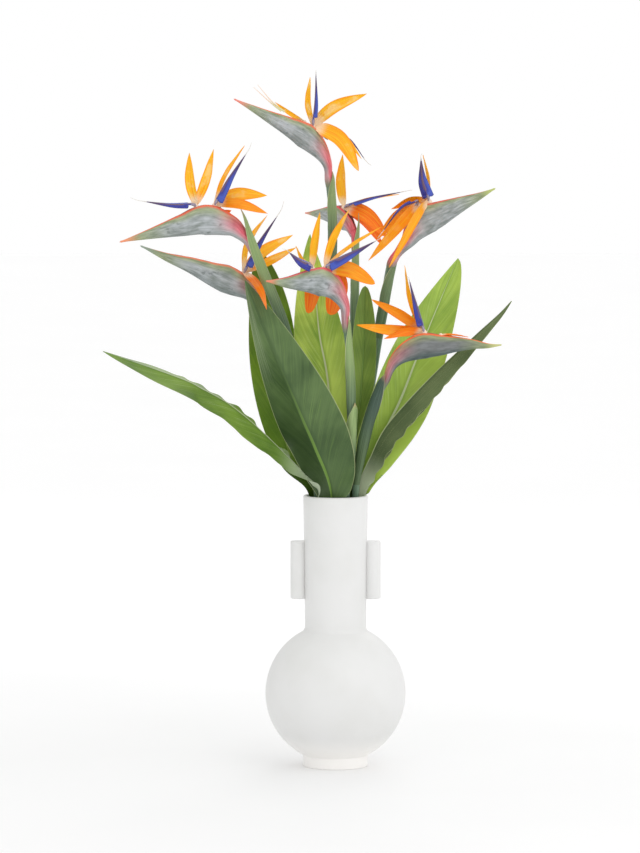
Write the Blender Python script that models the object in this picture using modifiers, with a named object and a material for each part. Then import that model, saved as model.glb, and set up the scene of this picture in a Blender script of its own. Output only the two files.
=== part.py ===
"""Bird of paradise flowers (Strelitzia reginae) standing in a white ceramic vase.

Metres, +Z up. The origin is the middle of the vase's flat underside, on the surface that it
stands on. The front of the arrangement faces -Y. Lengths in the tables below are millimetres.
"""
import math

import bpy
import bmesh
from mathutils import Vector

MM = 0.001
GAP = 0.4                   # clearance between two separate pieces that touch
STANDING = 3.0              # stalk ends over the ball that the floor is part of
DEPTH_SPREAD = 0.55         # how much the bunch opens, front to back, above the rim

# ---- vase -------------------------------------------------------------------------------
RIM_HEIGHT = 333.0
RIM_RADIUS = 39.4
NECK_RADIUS = 37.6          # outside, where the neck meets the bulb
BULB_RADIUS = 85.8
BULB_CENTRE = 90.0          # height of the bulb's centre
FOOT_RADIUS = 39.5
WALL = 4.6
VASE_SIDES = 32
HOLE_SIDES = 10             # facets of a hole in the water
LUG_RADIUS = 10.0
LUG_LOW = 206.0
LUG_HIGH = 277.0
LUG_OFFSET = 45.2           # from the vase's axis to each lug's axis
WATER_LEVEL = 128.0
WATER_GAP = 1.5             # between the faceted water and the faceted bulb round it
UPRIGHT = (110.0, 190.0, 270.0)   # heights between which every stalk stands upright

# ---- flowers ----------------------------------------------------------------------------
STALK_SIDES = 8
SPATHE_WALL = 1.3
MOUTH = 0.38                # share of the spathe's profile that lies before its widest place
SPATHE_SLIMNESS = 0.56      # width across the fold over depth, in the boat-shaped part
SEPAL_WIDTH = 16.0
SEPAL_THICKNESS = 1.0
FLORET_RADIUS = 2.3
FLORET_ROOT = 0.2           # where the florets grow from, along the spathe
ARROW_HALF_WIDTH = 5.2
ARROW_SHAFT = 1.3
ARROW_OFFSET = 7.0          # from its floret's crown to the front
ARROW_TIP = 0.45            # half-width left at the point
ARROW_FOLD = 0.5            # how far the lobes fold back, over their half-width
LOBE_START = 0.24           # where the lobes begin, along the arrow

# Sections along a spathe, its cavity, a sepal and an arrow, from 0 at the start to 1 at the tip
SPATHE_STATIONS = (0.02, 0.1, 0.19, 0.28, 0.37, 0.47, 0.58, 0.71, 0.86, 1.0)
CAVITY_STATIONS = (0.12, 0.2, 0.27, 0.35, 0.44, 0.54, 0.66, 0.82)
SEPAL_STATIONS = (0.0, 0.15, 0.35, 0.6, 0.83, 1.0)
ARROW_STATIONS = (0.0, 0.12, 0.23, 0.25, 0.33, 0.45, 0.6, 0.75, 0.88, 1.0)

# ---- leaves -----------------------------------------------------------------------------
PETIOLE_RADIUS = 2.8
BLADE_THICKNESS = 0.9
BASE_FULLNESS = 1.05        # how full a blade's lower part is, less being fuller
LEAF_STATIONS = 14          # sections of a blade above the rim

# Each head: slot is where its stalk stands in the vase's neck; girth is the stalk's radius in
# the neck and under the spathe; sheath is (from height, to height, extra radius) of the
# leafy sheath round it; spathe runs from the stalk's top to the beak's tip, depth is its
# deepest, and mouth is how far along that is.
# A floret stands along the spathe (0 to 1) and rises above its slit to the crown, where its
# sepals part. Each sepal or arrow has its tip, its bow (how far it arches to its left, or the
# point that it arches over), its turn (how far its face turns away from the front) and its
# breadth, a share of the usual. An arrow stands off its crown to the front or back and up.
HEADS = [
    {"slot": (-1, 24), "girth": (4.5, 4.8), "sheath": (640, 712, 1.0), "depth": 27, "mouth": 0.40,
     "stalk": [(-2, 27, 399), (-3, 31, 570), (-4, 29, 674)],
     "spathe": [(-8, 27, 717), (-11, 26, 738), (-24, 23, 758), (-45, 19, 775),
                (-85, 8, 796), (-124, 2, 816)],
     "florets": [
         {"along": 0.36, "rise": 4.0,
          "sepals": [((-31, 19, 842), 4, 30, 0.62), ((38, 8, 822), 6, 5, 1.05),
                     ((28, 6, 728), 11, 8, 1.3)],
          "arrow": ((-24, 8, 848), -1, 60, 0.95)},
         {"along": 0.28, "rise": 4.0,
          "sepals": [((32, 26, 742), 10, 35, 0.5)], "arrow": ((37, 33, 740), 12, 50, 0.4),
          "arrow_side": 1},
         {"along": 0.42, "rise": 2.0,
          "sepals": [((-74, 5, 812), 1, 20, 0.4)]}]},
    {"slot": (-18, -1), "girth": (4.8, 5.6), "sheath": (560, 632, 0.8), "depth": 33, "mouth": 0.40,
     "stalk": [(-26, -6, 389), (-43, -12, 475), (-62, -18, 541), (-82, -26, 593)],
     "spathe": [(-100, -32, 636), (-116, -34, 656), (-130, -36, 665), (-157, -38, 671),
                (-187, -41, 664), (-229, -46, 653), (-260, -50, 645)],
     "florets": [
         {"along": 0.42, "rise": 4.0,
          "sepals": [((-176, -42, 752), 3, 25, 0.9), ((-147, -34, 756), -3, 25, 0.9)],
          "arrow": ((-231, -48, 694), 2, -35, 0.85)},
         {"along": 0.33, "rise": 4.0,
          "sepals": [((-110, -28, 760), 4, 55, 0.6), ((-83, -30, 700), 7, 0, 1.15),
                     ((-82, -44, 679), 4, 40, 1.05)],
          "arrow": ((-107, -54, 752), 2, 55, 1.5)}]},
    {"slot": (-12, 13), "girth": (4.5, 5.0), "sheath": (470, 548, 1.0), "depth": 30, "mouth": 0.38,
     "stalk": [(-23, 8, 381), (-47, 2, 449), (-73, -3, 510)],
     "spathe": [(-90, -4, 553), (-103, -8, 580), (-125, -11, 594), (-147, -13, 603),
                (-176, -15, 615), (-205, -17, 625), (-237, -20, 639)],
     "florets": [
         {"along": 0.28, "rise": 4.0,
          "sepals": [((-83, -8, 675), 8, 50, 0.75), ((-52, 14, 650), 5, 25, 1.1),
                     ((-48, 6, 635), -2, 40, 0.9), ((-83, -60, 565), 4, 50, 1.0)],
          "arrow": ((-70, -20, 676), 3, 55, 1.5)}]},
    {"slot": (9, -17), "girth": (4.8, 3.4), "sheath": (400, 540, 2.4), "depth": 31, "mouth": 0.50,
     "stalk": [(17, -24, 384), (19, -28, 427), (17, -34, 493)],
     "spathe": [(12, -42, 545), (11, -44, 566), (5, -45, 579), (-3, -46, 589),
                (-14, -48, 596), (-30, -51, 598), (-60, -56, 597), (-84, -60, 599)],
     "florets": [
         {"along": 0.36, "rise": 4.0,
          "sepals": [((16, -52, 684), 3, 40, 0.9), ((55, -40, 663), 2, 60, 0.55),
                     ((47, -54, 595), 6, 0, 1.35), ((-8, -22, 559), (-2, -30, 606), 40, 1.3)],
          "arrow": ((49, -62, 648), 0, 50, 1.7)},
         {"along": 0.46, "rise": 4.0,
          "sepals": [((-19, -48, 681), 0, 40, 0.9), ((-48, -44, 640), 3, 65, 0.6),
                     ((-27, -22, 561), (-24, -33, 606), 45, 1.0)],
          "arrow": ((-57, -64, 635), 2, -45, 1.5)}]},
    {"slot": (11, 21), "girth": (4.2, 4.0), "sheath": (560, 632, 0.8), "depth": 26, "mouth": 0.38,
     "stalk": [(19, 27, 398), (23, 38, 520)],
     "spathe": [(24, 50, 635), (22, 54, 650), (15, 60, 662), (3, 72, 669), (-10, 88, 671),
                (-23, 104, 671), (-38, 122, 671)],
     "florets": [
         {"along": 0.32, "rise": 4.0,
          "sepals": [((9, 64, 746), 2, 40, 1.1), ((62, 44, 646), 7, 20, 1.1),
                     ((58, 58, 634), 6, 25, 1.0), ((79, 68, 697), 2, 65, 0.45)],
          "arrow": ((83, 50, 701), 2, 60, 0.8)}]},
    {"slot": (20, 13.5), "girth": (4.8, 5.4), "sheath": (540, 612, 0.6), "depth": 32, "mouth": 0.44,
     "stalk": [(22, 14, 335), (32, 20, 399), (44, 25, 470), (53, 28, 526), (66, 31, 601)],
     "spathe": [(70, 28, 617), (79, 28, 630), (89, 27, 642), (98, 26, 655), (112, 24, 668),
                (127, 22, 675), (148, 18, 685), (175, 14, 697), (195, 10, 707)],
     "florets": [
         {"along": 0.42, "rise": 6.0,
          "sepals": [((107, 26, 747), -4, 70, 0.6), ((68, 24, 681), -5, 35, 1.0),
                     ((65, 0, 611), (97, 3, 673), 45, 1.05)],
          "arrow": ((104, 14, 744), 3, 5, 1.45)},
         {"along": 0.36, "rise": 6.0,
          "sepals": [((50, 20, 644), -6, 30, 1.15), ((40, 8, 619), (83, 8, 670), 25, 1.1)],
          "arrow": ((57, 5, 654), (80, 14, 682), 60, 0.6), "arrow_lift": 6}]},
    {"slot": (22.5, -14), "girth": (4.8, 4.2), "sheath": (395, 472, 2.4), "depth": 28, "mouth": 0.42,
     "stalk": [(24, -15, 335), (30, -21, 380), (39, -26, 421), (50, -33, 455)],
     "spathe": [(61, -38, 478), (65, -39, 489), (71, -40, 500), (84, -41, 511),
                (104, -41, 519), (125, -41, 520), (144, -40, 521), (165, -39, 521),
                (184, -37, 519), (201, -35, 520)],
     "florets": [
         {"along": 0.38, "rise": 4.0,
          "sepals": [((83, -38, 616), 4, 60, 0.8), ((43, -34, 575), -3, 25, 1.0),
                     ((25, -44, 545), 2, 20, 1.0), ((58, -52, 529), -5, 40, 1.0)],
          "arrow": ((88, -50, 601), 0, -50, 1.3)},
         {"along": 0.5, "rise": 1.5,
          "sepals": [((160, -40, 530), 1, 80, 0.5)]}]},
]

# Each leaf: midrib points from just above the rim to the tip. Pairs are for its left and right
# half as seen from the face: the widest half-widths; belly, where along the blade that is; blunt,
# how full the tip is, less being fuller; fold, how far the half is raised from flat (degrees).
# Face is the way its upper side looks; wave, the margin's height and number of waves.
LEAVES = [
    {"slot": (-17, -15), "half_widths": (38, 32), "belly": (0.5, 0.5), "blunt": (0.8, 0.8),
     "face": (0.1, -0.5, 0.85), "fold": (-4, -24), "wave": (3.0, 5), "round_to_blade": 70,
     "midrib": [(-19, -19, 335), (-40, -42, 365), (-60, -52, 387), (-82, -60, 410),
                (-106, -66, 433), (-132, -71, 454), (-161, -77, 471), (-186, -82, 484),
                (-277, -95, 518)]},
    {"slot": (-4, -22), "half_widths": (34, 46), "belly": (0.36, 0.31), "blunt": (0.85, 0.85),
     "face": (0.0, -1.0, 0.1), "fold": (-28, 6), "wave": (1.6, 4), "round_to_blade": 45,
     "midrib": [(-6, -26, 340), (-24, -38, 391), (-39, -46, 427), (-54, -50, 464),
                (-71, -48, 504), (-89, -40, 547), (-110, -26, 598)]},
    {"slot": (-26, 12), "half_widths": (24, 38), "belly": (0.45, 0.6), "blunt": (0.62, 0.62),
     "face": (0.1, -1.0, 0.1), "fold": (10, -10), "wave": (1.8, 4), "round_to_blade": 60,
     "midrib": [(-28, 13, 337), (-53, 20, 374), (-70, 25, 429), (-83, 28, 497),
                (-90, 28, 570), (-96, 26, 631)]},
    {"slot": (1, 10), "half_widths": (33, 32), "belly": (0.5, 0.5), "blunt": (0.8, 1.15),
     "face": (0.0, -1.0, 0.0), "fold": (5, 0), "wave": (1.6, 4), "round_to_blade": 60,
     "midrib": [(-2, 13, 363), (-9, 17, 467), (-19, 18, 524), (-23, 18, 561), (-31, 16, 651)]},
    {"slot": (12, 4), "half_widths": (17, 17), "belly": (0.62, 0.62), "blunt": (0.5, 0.5),
     "face": (0.0, -1.0, 0.0), "fold": (26, 26), "wave": (0.8, 3), "round_to_blade": 60,
     "midrib": [(19, 6, 360), (25, 8, 400), (31, 9, 455), (35, 10, 522), (36, 11, 588)]},
    {"slot": (27, 5), "half_widths": (38, 38), "belly": (0.45, 0.42), "blunt": (0.95, 0.58),
     "face": (-0.1, -1.0, 0.1), "fold": (28, 8), "wave": (2.0, 4), "round_to_blade": 50,
     "midrib": [(28, 4, 336), (48, 5, 387), (67, 7, 424), (81, 9, 453), (99, 12, 499),
                (116, 16, 541), (150, 24, 621)]},
    {"slot": (27, -6), "half_widths": (21, 22), "belly": (0.42, 0.42), "blunt": (0.9, 0.9),
     "face": (0.7, 0.0, -0.7), "fold": (68, 68), "wave": (1.2, 5), "round_to_blade": 60,
     "midrib": [(29, -6, 338), (46, -12, 383), (61, -13, 414), (87, -14, 446),
                (117, -14, 478), (146, -13, 506), (176, -12, 534), (199, -12, 555),
                (214, -12, 571)]},
]

# ---- materials ---------------------------------------------------------------------------


def make_material(name, colour, roughness):
    material = bpy.data.materials.new(name)
    material.use_nodes = True
    shader = material.node_tree.nodes["Principled BSDF"]
    shader.inputs["Base Color"].default_value = (*colour, 1.0)
    shader.inputs["Roughness"].default_value = roughness
    shader.inputs["Metallic"].default_value = 0.0
    return material


# ---- curves ------------------------------------------------------------------------------


def spline_point(p0, p1, p2, p3, t):
    """A point between p1 and p2 on the Catmull-Rom curve through four points."""
    a = 2.0 * p1
    b = p2 - p0
    c = 2.0 * p0 - 5.0 * p1 + 4.0 * p2 - p3
    d = 3.0 * p1 - p0 - 3.0 * p2 + p3
    return 0.5 * (a + b * t + c * t * t + d * t * t * t)


class Path:
    """A smooth curve through points, read by distance from its start (all in millimetres)."""

    def __init__(self, points, steps=16):
        points = [Vector(p) for p in points]
        ends = [2.0 * points[0] - points[1]] + points + [2.0 * points[-1] - points[-2]]
        self.dense = [points[0]]
        for i in range(len(points) - 1):
            for k in range(1, steps + 1):
                self.dense.append(spline_point(*ends[i:i + 4], k / steps))
        self.distance = [0.0]
        for a, b in zip(self.dense, self.dense[1:]):
            self.distance.append(self.distance[-1] + (b - a).length)
        self.length = self.distance[-1]

    def at(self, distance):
        distance = min(max(distance, 0.0), self.length)
        i = 1
        while i < len(self.dense) - 1 and self.distance[i] < distance:
            i += 1
        span = self.distance[i] - self.distance[i - 1]
        return self.dense[i - 1].lerp(self.dense[i], (distance - self.distance[i - 1]) / span)

    def direction(self, distance, reach=2.0):
        return (self.at(distance + reach) - self.at(distance - reach)).normalized()

    def distance_at_height(self, height):
        """How far along the path first reaches a height."""
        for point, distance in zip(self.dense, self.distance):
            if point.z >= height:
                return distance
        return self.length


def smooth_step(t):
    t = min(max(t, 0.0), 1.0)
    return t * t * (3.0 - 2.0 * t)


def open_out(points):
    """The same points with the bunch opened front to back, more the higher they stand."""
    opened = []
    for x, y, z in points:
        spread = 1.0 + DEPTH_SPREAD * smooth_step((z - RIM_HEIGHT - 10.0) / 200.0)
        opened.append((x, y * spread, z))
    return opened


def bow_path(start, end, bow):
    """An arch from start to end, bowed to its left as seen from the front, or over a point."""
    start, end = Vector(start), Vector(end)
    if isinstance(bow, tuple):
        return Path([start, open_out([bow])[0], end])
    chord = end - start
    left = Vector((-chord.z, 0.0, chord.x)).normalized()
    middle = start.lerp(end, 0.45) + left * bow
    return Path([start, middle, end])


# ---- solids ------------------------------------------------------------------------------


def mesh_object(name, bm, material, collection):
    mesh = bpy.data.meshes.new(name)
    bm.to_mesh(mesh)
    bm.free()
    mesh.materials.append(material)
    obj = bpy.data.objects.new(name, mesh)
    collection.objects.link(obj)
    return obj


def loft(name, rings, material, collection):
    """A closed solid through rings of points of one count, in triangles alike on both faces."""
    bm = bmesh.new()
    rows = [[bm.verts.new(Vector(p) * MM) for p in ring] for ring in rings]
    count = len(rows[0])
    for low, high in zip(rows, rows[1:]):
        for j in range(count):
            k = (j + 1) % count
            if 2 * j < count:
                bm.faces.new((low[j], low[k], high[k]))
                bm.faces.new((low[j], high[k], high[j]))
            else:
                bm.faces.new((low[j], low[k], high[j]))
                bm.faces.new((low[k], high[k], high[j]))
    bm.faces.new(list(reversed(rows[0])))
    bm.faces.new(rows[-1])
    caps = [f for f in bm.faces if len(f.verts) > 3]
    bmesh.ops.triangulate(bm, faces=caps)
    bmesh.ops.recalc_face_normals(bm, faces=bm.faces)
    return mesh_object(name, bm, material, collection)


def apply_modifiers(obj):
    """Replaces an object's mesh by its evaluated one and drops its modifiers."""
    bpy.context.view_layer.update()
    depsgraph = bpy.context.evaluated_depsgraph_get()
    mesh = bpy.data.meshes.new_from_object(obj.evaluated_get(depsgraph))
    obj.modifiers.clear()
    obj.data = mesh


def is_closed(mesh):
    """Whether every edge of a mesh has just two faces."""
    uses = [0] * len(mesh.edges)
    for loop in mesh.loops:
        uses[loop.edge_index] += 1
    return all(use == 2 for use in uses)


def boolean(obj, others, operation):
    """Joins or cuts an object with others in one Boolean, and removes the others."""
    helpers = bpy.data.collections.new(obj.name + "_helpers")
    bpy.context.scene.collection.children.link(helpers)
    for other in others:
        for owner in list(other.users_collection):
            owner.objects.unlink(other)
        helpers.objects.link(other)
    plain = obj.data
    for solver in ("EXACT", "MANIFOLD"):
        obj.data = plain
        modifier = obj.modifiers.new("Boolean", "BOOLEAN")
        modifier.operation = operation
        modifier.solver = solver
        modifier.operand_type = "COLLECTION"
        modifier.collection = helpers
        apply_modifiers(obj)
        if is_closed(obj.data):
            break
    for other in others:
        bpy.data.objects.remove(other)
    bpy.data.collections.remove(helpers)
    return obj


# ---- vase and water ----------------------------------------------------------------------


def bulb_arc(radius, start_radius, end_radius, steps, upward):
    """Points on the bulb's ball section, through its widest place, top to bottom or back."""
    top = math.asin(min(1.0, start_radius / radius))
    low = math.pi - math.asin(min(1.0, end_radius / radius))
    points = []
    for i in range(steps + 1):
        angle = top + (low - top) * i / steps
        points.append((radius * math.sin(angle), BULB_CENTRE + radius * math.cos(angle)))
    return list(reversed(points)) if upward else points


def inner_floor(distance_from_axis):
    """Height of the curved floor inside the bulb."""
    radius = BULB_RADIUS - WALL
    return BULB_CENTRE - math.sqrt(radius ** 2 - distance_from_axis ** 2)


def turned(name, profile, sides, material, collection):
    """A profile of (radius, height) points turned round the vertical axis."""
    mesh = bpy.data.meshes.new(name)
    vertices = [(r * MM, 0.0, z * MM) for r, z in profile]
    edges = [(i, i + 1) for i in range(len(profile) - 1)]
    mesh.from_pydata(vertices, edges, [])
    mesh.materials.append(material)
    obj = bpy.data.objects.new(name, mesh)
    collection.objects.link(obj)
    screw = obj.modifiers.new("Turn", "SCREW")
    screw.steps = sides
    screw.render_steps = sides
    screw.use_merge_vertices = True
    screw.merge_threshold = 0.00001
    apply_modifiers(obj)
    obj.data.shade_smooth()
    return obj


def cylinder(name, radius, low, high, x, y, sides, material, collection):
    bm = bmesh.new()
    bmesh.ops.create_cone(bm, cap_ends=True, segments=sides, radius1=radius * MM,
                          radius2=radius * MM, depth=(high - low) * MM)
    place = Vector((x, y, 0.5 * (low + high))) * MM
    bmesh.ops.translate(bm, verts=bm.verts, vec=place)
    return mesh_object(name, bm, material, collection)


def build_vase(material, collection):
    inner_neck = NECK_RADIUS - WALL
    inner_rim = RIM_RADIUS - WALL + 0.4
    inside = bulb_arc(BULB_RADIUS - WALL, inner_neck, 0.0, 9, upward=True)
    lip = [(inner_rim, RIM_HEIGHT - 1.8), (inner_rim + 1.3, RIM_HEIGHT),
           (RIM_RADIUS - 1.3, RIM_HEIGHT), (RIM_RADIUS, RIM_HEIGHT - 1.8)]
    neck = [(0.5 * (RIM_RADIUS + NECK_RADIUS) - 0.2, 0.5 * (RIM_HEIGHT + LUG_LOW))]
    outside = bulb_arc(BULB_RADIUS, NECK_RADIUS, FOOT_RADIUS, 10, upward=False)
    foot = [(FOOT_RADIUS, 1.2), (FOOT_RADIUS - 1.2, 0.0), (0.0, 0.0)]
    inside[0] = (0.0, inside[0][1])
    profile = inside + lip + neck + outside + foot
    vase = turned("vase", profile, VASE_SIDES, material, collection)
    lugs = []
    for side in (-1, 1):
        lug = cylinder("lug", LUG_RADIUS, LUG_LOW, LUG_HIGH, side * LUG_OFFSET, 0.0, 16,
                       material, collection)
        bevel = lug.modifiers.new("Round ends", "BEVEL")
        bevel.width = 1.5 * MM
        bevel.segments = 2
        apply_modifiers(lug)
        lugs.append(lug)
    return boolean(vase, lugs, "UNION")


def build_water(holes, material, collection):
    """Water in the bulb, with a plain upright hole for each stalk that stands in it."""
    radius = BULB_RADIUS - WALL - WATER_GAP
    half = WATER_LEVEL - BULB_CENTRE
    edge = math.sqrt(radius ** 2 - half ** 2)
    arc = bulb_arc(radius, edge, 0.0, 7, upward=False)
    arc[-1] = (0.0, arc[-1][1])
    profile = [(0.0, WATER_LEVEL)] + arc
    water = turned("water", profile, VASE_SIDES, material, collection)
    cutters = [cylinder("hole", stalk + 2.0 * GAP, 0.0, WATER_LEVEL + 5.0, x, y, HOLE_SIDES,
                        material, collection)
               for x, y, stalk in holes]
    return boolean(water, cutters, "DIFFERENCE")


# ---- flower heads ------------------------------------------------------------------------


def spathe_half_depth(depth, s):
    """Half the spathe's depth at s, from 0 at the stalk to 1 at the beak's tip."""
    if s < MOUTH:
        share = 0.34 + 0.66 * smooth_step(s / MOUTH)
    else:
        share = max(0.05, ((1.0 - s) / (1.0 - MOUTH)) ** 1.15)
    return 0.5 * depth * share


def spathe_half_width(depth, s):
    slimness = 1.0 - (1.0 - SPATHE_SLIMNESS) * smooth_step(s / 0.3)
    return spathe_half_depth(depth, s) * slimness


class Head:
    """The path and cross-sections of one flower head."""

    def __init__(self, number, data):
        self.number = number
        self.data = data
        x, y = data["slot"]
        radius = data["girth"][0]
        floor = inner_floor(math.hypot(x, y) + radius) + STANDING
        points = [(x, y, floor)] + [(x, y, height) for height in UPRIGHT]
        self.path = Path(points + open_out(data["stalk"] + data["spathe"]))
        self.joint = self.path.distance[16 * (len(points) + len(data["stalk"]))]
        start, tip = (Vector(p) for p in open_out([data["spathe"][0], data["spathe"][-1]]))
        beak = (tip - start)
        beak.z = 0.0
        self.side = beak.normalized().cross(Vector((0.0, 0.0, 1.0)))

    def frame(self, distance):
        """Centre, up (towards the slit) and side at a distance along the path."""
        direction = self.path.direction(distance)
        side = (self.side - direction * self.side.dot(direction)).normalized()
        return self.path.at(distance), side.cross(direction), side

    def along_spathe(self, s):
        """Distance along the path, with the widest place of the profile at the mouth."""
        power = math.log(self.data["mouth"]) / math.log(MOUTH)
        return self.joint + s ** power * (self.path.length - self.joint)

    def crown(self, floret):
        """Where a floret's sepals part, straight above the spathe's slit."""
        centre, up, side = self.frame(self.along_spathe(floret["along"]))
        return centre + up * (spathe_half_depth(self.data["depth"], floret["along"])
                              + floret["rise"])

    def ring(self, distance, half_up, half_side):
        centre, up, side = self.frame(distance)
        points = []
        for k in range(STALK_SIDES):
            angle = 2.0 * math.pi * (k + 0.5) / STALK_SIDES
            points.append(centre + up * (half_up * math.cos(angle))
                          + side * (half_side * math.sin(angle)))
        return points


def stalk_radius(data, height, share):
    low, high = data["girth"]
    radius = low + (high - low) * smooth_step(share)
    start, end, extra = data["sheath"]
    if start < height < end:
        radius += extra * smooth_step((height - start) / 30.0)
    return radius


def build_stalk(head, material, collection):
    """The flower stalk with its sheath, and the hollow boat-shaped spathe that it grows into."""
    data = head.data
    rim = head.path.distance_at_height(300.0)
    sheath_end = head.path.distance_at_height(data["sheath"][1])
    stations = [0.0, 0.5 * rim, rim]
    stations += [rim + (sheath_end - rim) * k / 4.0 for k in range(1, 4)]
    stations += [sheath_end - 1.5, sheath_end + 1.5]
    rings = []
    for distance in stations:
        share = distance / head.joint
        radius = stalk_radius(data, head.path.at(distance).z, share)
        rings.append(head.ring(distance, radius, radius))
    for s in SPATHE_STATIONS:
        radius = data["girth"][1]
        half_up = max(spathe_half_depth(data["depth"], s), radius * (1.0 - s / 0.3))
        half_side = max(spathe_half_width(data["depth"], s), radius * (1.0 - s / 0.3))
        rings.append(head.ring(head.along_spathe(s), half_up, half_side))
    name = "head_%d_stalk" % head.number
    stalk = loft(name, rings, material, collection)
    return boolean(stalk, [spathe_cavity(head, material, collection)], "DIFFERENCE")


def slit_half_gap(s):
    """The slit is widest where the florets come out and narrow towards the beak."""
    opening = math.exp(-((s - MOUTH) / 0.18) ** 2)
    return 0.7 + 3.6 * opening


def spathe_cavity(head, material, collection):
    """The room inside the spathe with its slit, as one cutter."""
    depth = head.data["depth"]
    rings = []
    for s in CAVITY_STATIONS:
        centre, up, side = head.frame(head.along_spathe(s))
        outer = spathe_half_depth(depth, s)
        h = outer - SPATHE_WALL
        w = spathe_half_width(depth, s) - SPATHE_WALL
        gap = min(slit_half_gap(s), 0.7 * w)
        top = outer + 4.0 if s > 0.2 else 0.95 * h
        shoulder = max(0.55 * h, 0.1)
        outline = [(-h, 0.0), (-0.6 * h, 0.78 * w), (0.0, w), (shoulder, 0.72 * w),
                   (0.85 * h, gap), (top, gap), (top, -gap), (0.85 * h, -gap),
                   (shoulder, -0.72 * w), (0.0, -w), (-0.6 * h, -0.78 * w)]
        rings.append([centre + up * a + side * b for a, b in outline])
    return loft("cavity", rings, material, collection)


def blade_ring(centre, across, face, half_width, thickness, keel):
    """Six points round a sepal's section, folded along its middle."""
    edge = 0.5 * thickness * 0.7
    middle = 0.5 * thickness
    return [centre - across * half_width + face * (keel + edge),
            centre + face * middle,
            centre + across * half_width + face * (keel + edge),
            centre + across * half_width + face * (keel - edge),
            centre - face * middle,
            centre - across * half_width + face * (keel - edge)]


def facing(direction, turn):
    """The side and face directions of a blade that looks to the front, turned by an angle."""
    front = Vector((0.0, -1.0, 0.0))
    across = direction.cross(front).normalized()
    face = across.cross(direction).normalized()
    angle = math.radians(turn)
    return (across * math.cos(angle) + face * math.sin(angle),
            face * math.cos(angle) - across * math.sin(angle))


def sepal_half_width(s, breadth):
    """Widest below the middle, narrow where it parts from the floret, pointed at the tip."""
    swell = math.sin(math.pi * min(1.0, 0.12 + 0.88 * s) ** 0.9)
    return 0.5 * SEPAL_WIDTH * breadth * max(0.05, swell ** 0.85 if swell > 0.0 else 0.0)


def build_sepal(crown, sepal, material, collection):
    tip, bow, turn, breadth = sepal
    path = bow_path(crown, open_out([tip])[0], bow)
    rings = []
    for s in SEPAL_STATIONS:
        distance = s * path.length
        across, face = facing(path.direction(distance), turn)
        half_width = min(sepal_half_width(s, breadth), 1.9 + 40.0 * s)
        rings.append(blade_ring(path.at(distance), across, face, half_width,
                                SEPAL_THICKNESS, 0.22 * half_width))
    return loft("sepal", rings, material, collection)


def build_floret_base(head, floret, material, collection):
    """The pale tube that carries a floret's sepals, from inside the spathe to its crown."""
    halfway = 0.5 * (FLORET_ROOT + floret["along"])
    inside = [head.path.at(head.along_spathe(s)) for s in (FLORET_ROOT, halfway)]
    centre, up, side = head.frame(head.along_spathe(floret["along"]))
    crown = head.crown(floret)
    path = Path(inside + [centre - up * 1.0, crown])
    rings = []
    for k in range(4):
        distance = path.length * k / 3.0
        across, face = facing(path.direction(distance), 0.0)
        radius = FLORET_RADIUS * (0.9 + 0.1 * k)
        rings.append([path.at(distance) + across * radius * math.cos(a)
                      + face * radius * math.sin(a)
                      for a in [2.0 * math.pi * j / 6 for j in range(6)]])
    across, face = facing(path.direction(path.length), 0.0)
    top = crown + path.direction(path.length) * 2.5
    rings.append([top + (across * math.cos(a) + face * math.sin(a)) * 1.2
                  for a in [2.0 * math.pi * j / 6 for j in range(6)]])
    return loft("head_%d_sepals" % head.number, rings, material, collection)


def build_sepals(head, material, collection):
    """All the open florets' sepals on their bases, which grow together inside the spathe."""
    bases = []
    blades = []
    for floret in head.data["florets"]:
        bases.append(build_floret_base(head, floret, material, collection))
        for sepal in floret["sepals"]:
            blades.append(build_sepal(head.crown(floret), sepal, material, collection))
    bases[0].name = "head_%d_sepals" % head.number
    return boolean(bases[0], bases[1:] + blades, "UNION")


def arrow_half_width(s, breadth):
    """A slim shaft, two lobes a quarter of the way up, and a long point."""
    if s < LOBE_START:
        return ARROW_SHAFT
    taper = (1.0 - s) / (1.0 - LOBE_START)
    return ARROW_HALF_WIDTH * breadth * taper + ARROW_TIP


def build_arrow(head, number, floret, material, collection):
    """The blue arrow, standing just in front of its floret's crown."""
    tip, bow, turn, breadth = floret["arrow"]
    side = floret.get("arrow_side", -1)
    tip = Vector(open_out([tip])[0])
    crown = head.crown(floret)
    crown.y += side * ARROW_OFFSET
    crown.z += floret.get("arrow_lift", 1)
    start = crown + (tip - crown).normalized() * 2.0
    path = bow_path(start, tip, bow)
    rings = []
    for s in ARROW_STATIONS:
        distance = s * path.length
        across, face = facing(path.direction(distance), turn)
        half_width = arrow_half_width(s, breadth)
        fold = ARROW_FOLD * half_width if s > LOBE_START else 0.0
        thickness = 2.4 - 1.4 * s
        rings.append(blade_ring(path.at(distance), across, face, half_width, thickness, -fold))
    name = "head_%d_arrow_%d" % (head.number, number)
    return loft(name, rings, material, collection)


# ---- leaves ------------------------------------------------------------------------------


def leaf_outline(s, belly, blunt):
    """The blade's half-width share at s, from 0 at its base to 1 at its tip."""
    power = math.log(0.5) / math.log(belly)
    swell = max(0.0, math.sin(math.pi * min(1.0, s) ** power))
    return swell ** (blunt if s > belly else BASE_FULLNESS)


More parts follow.
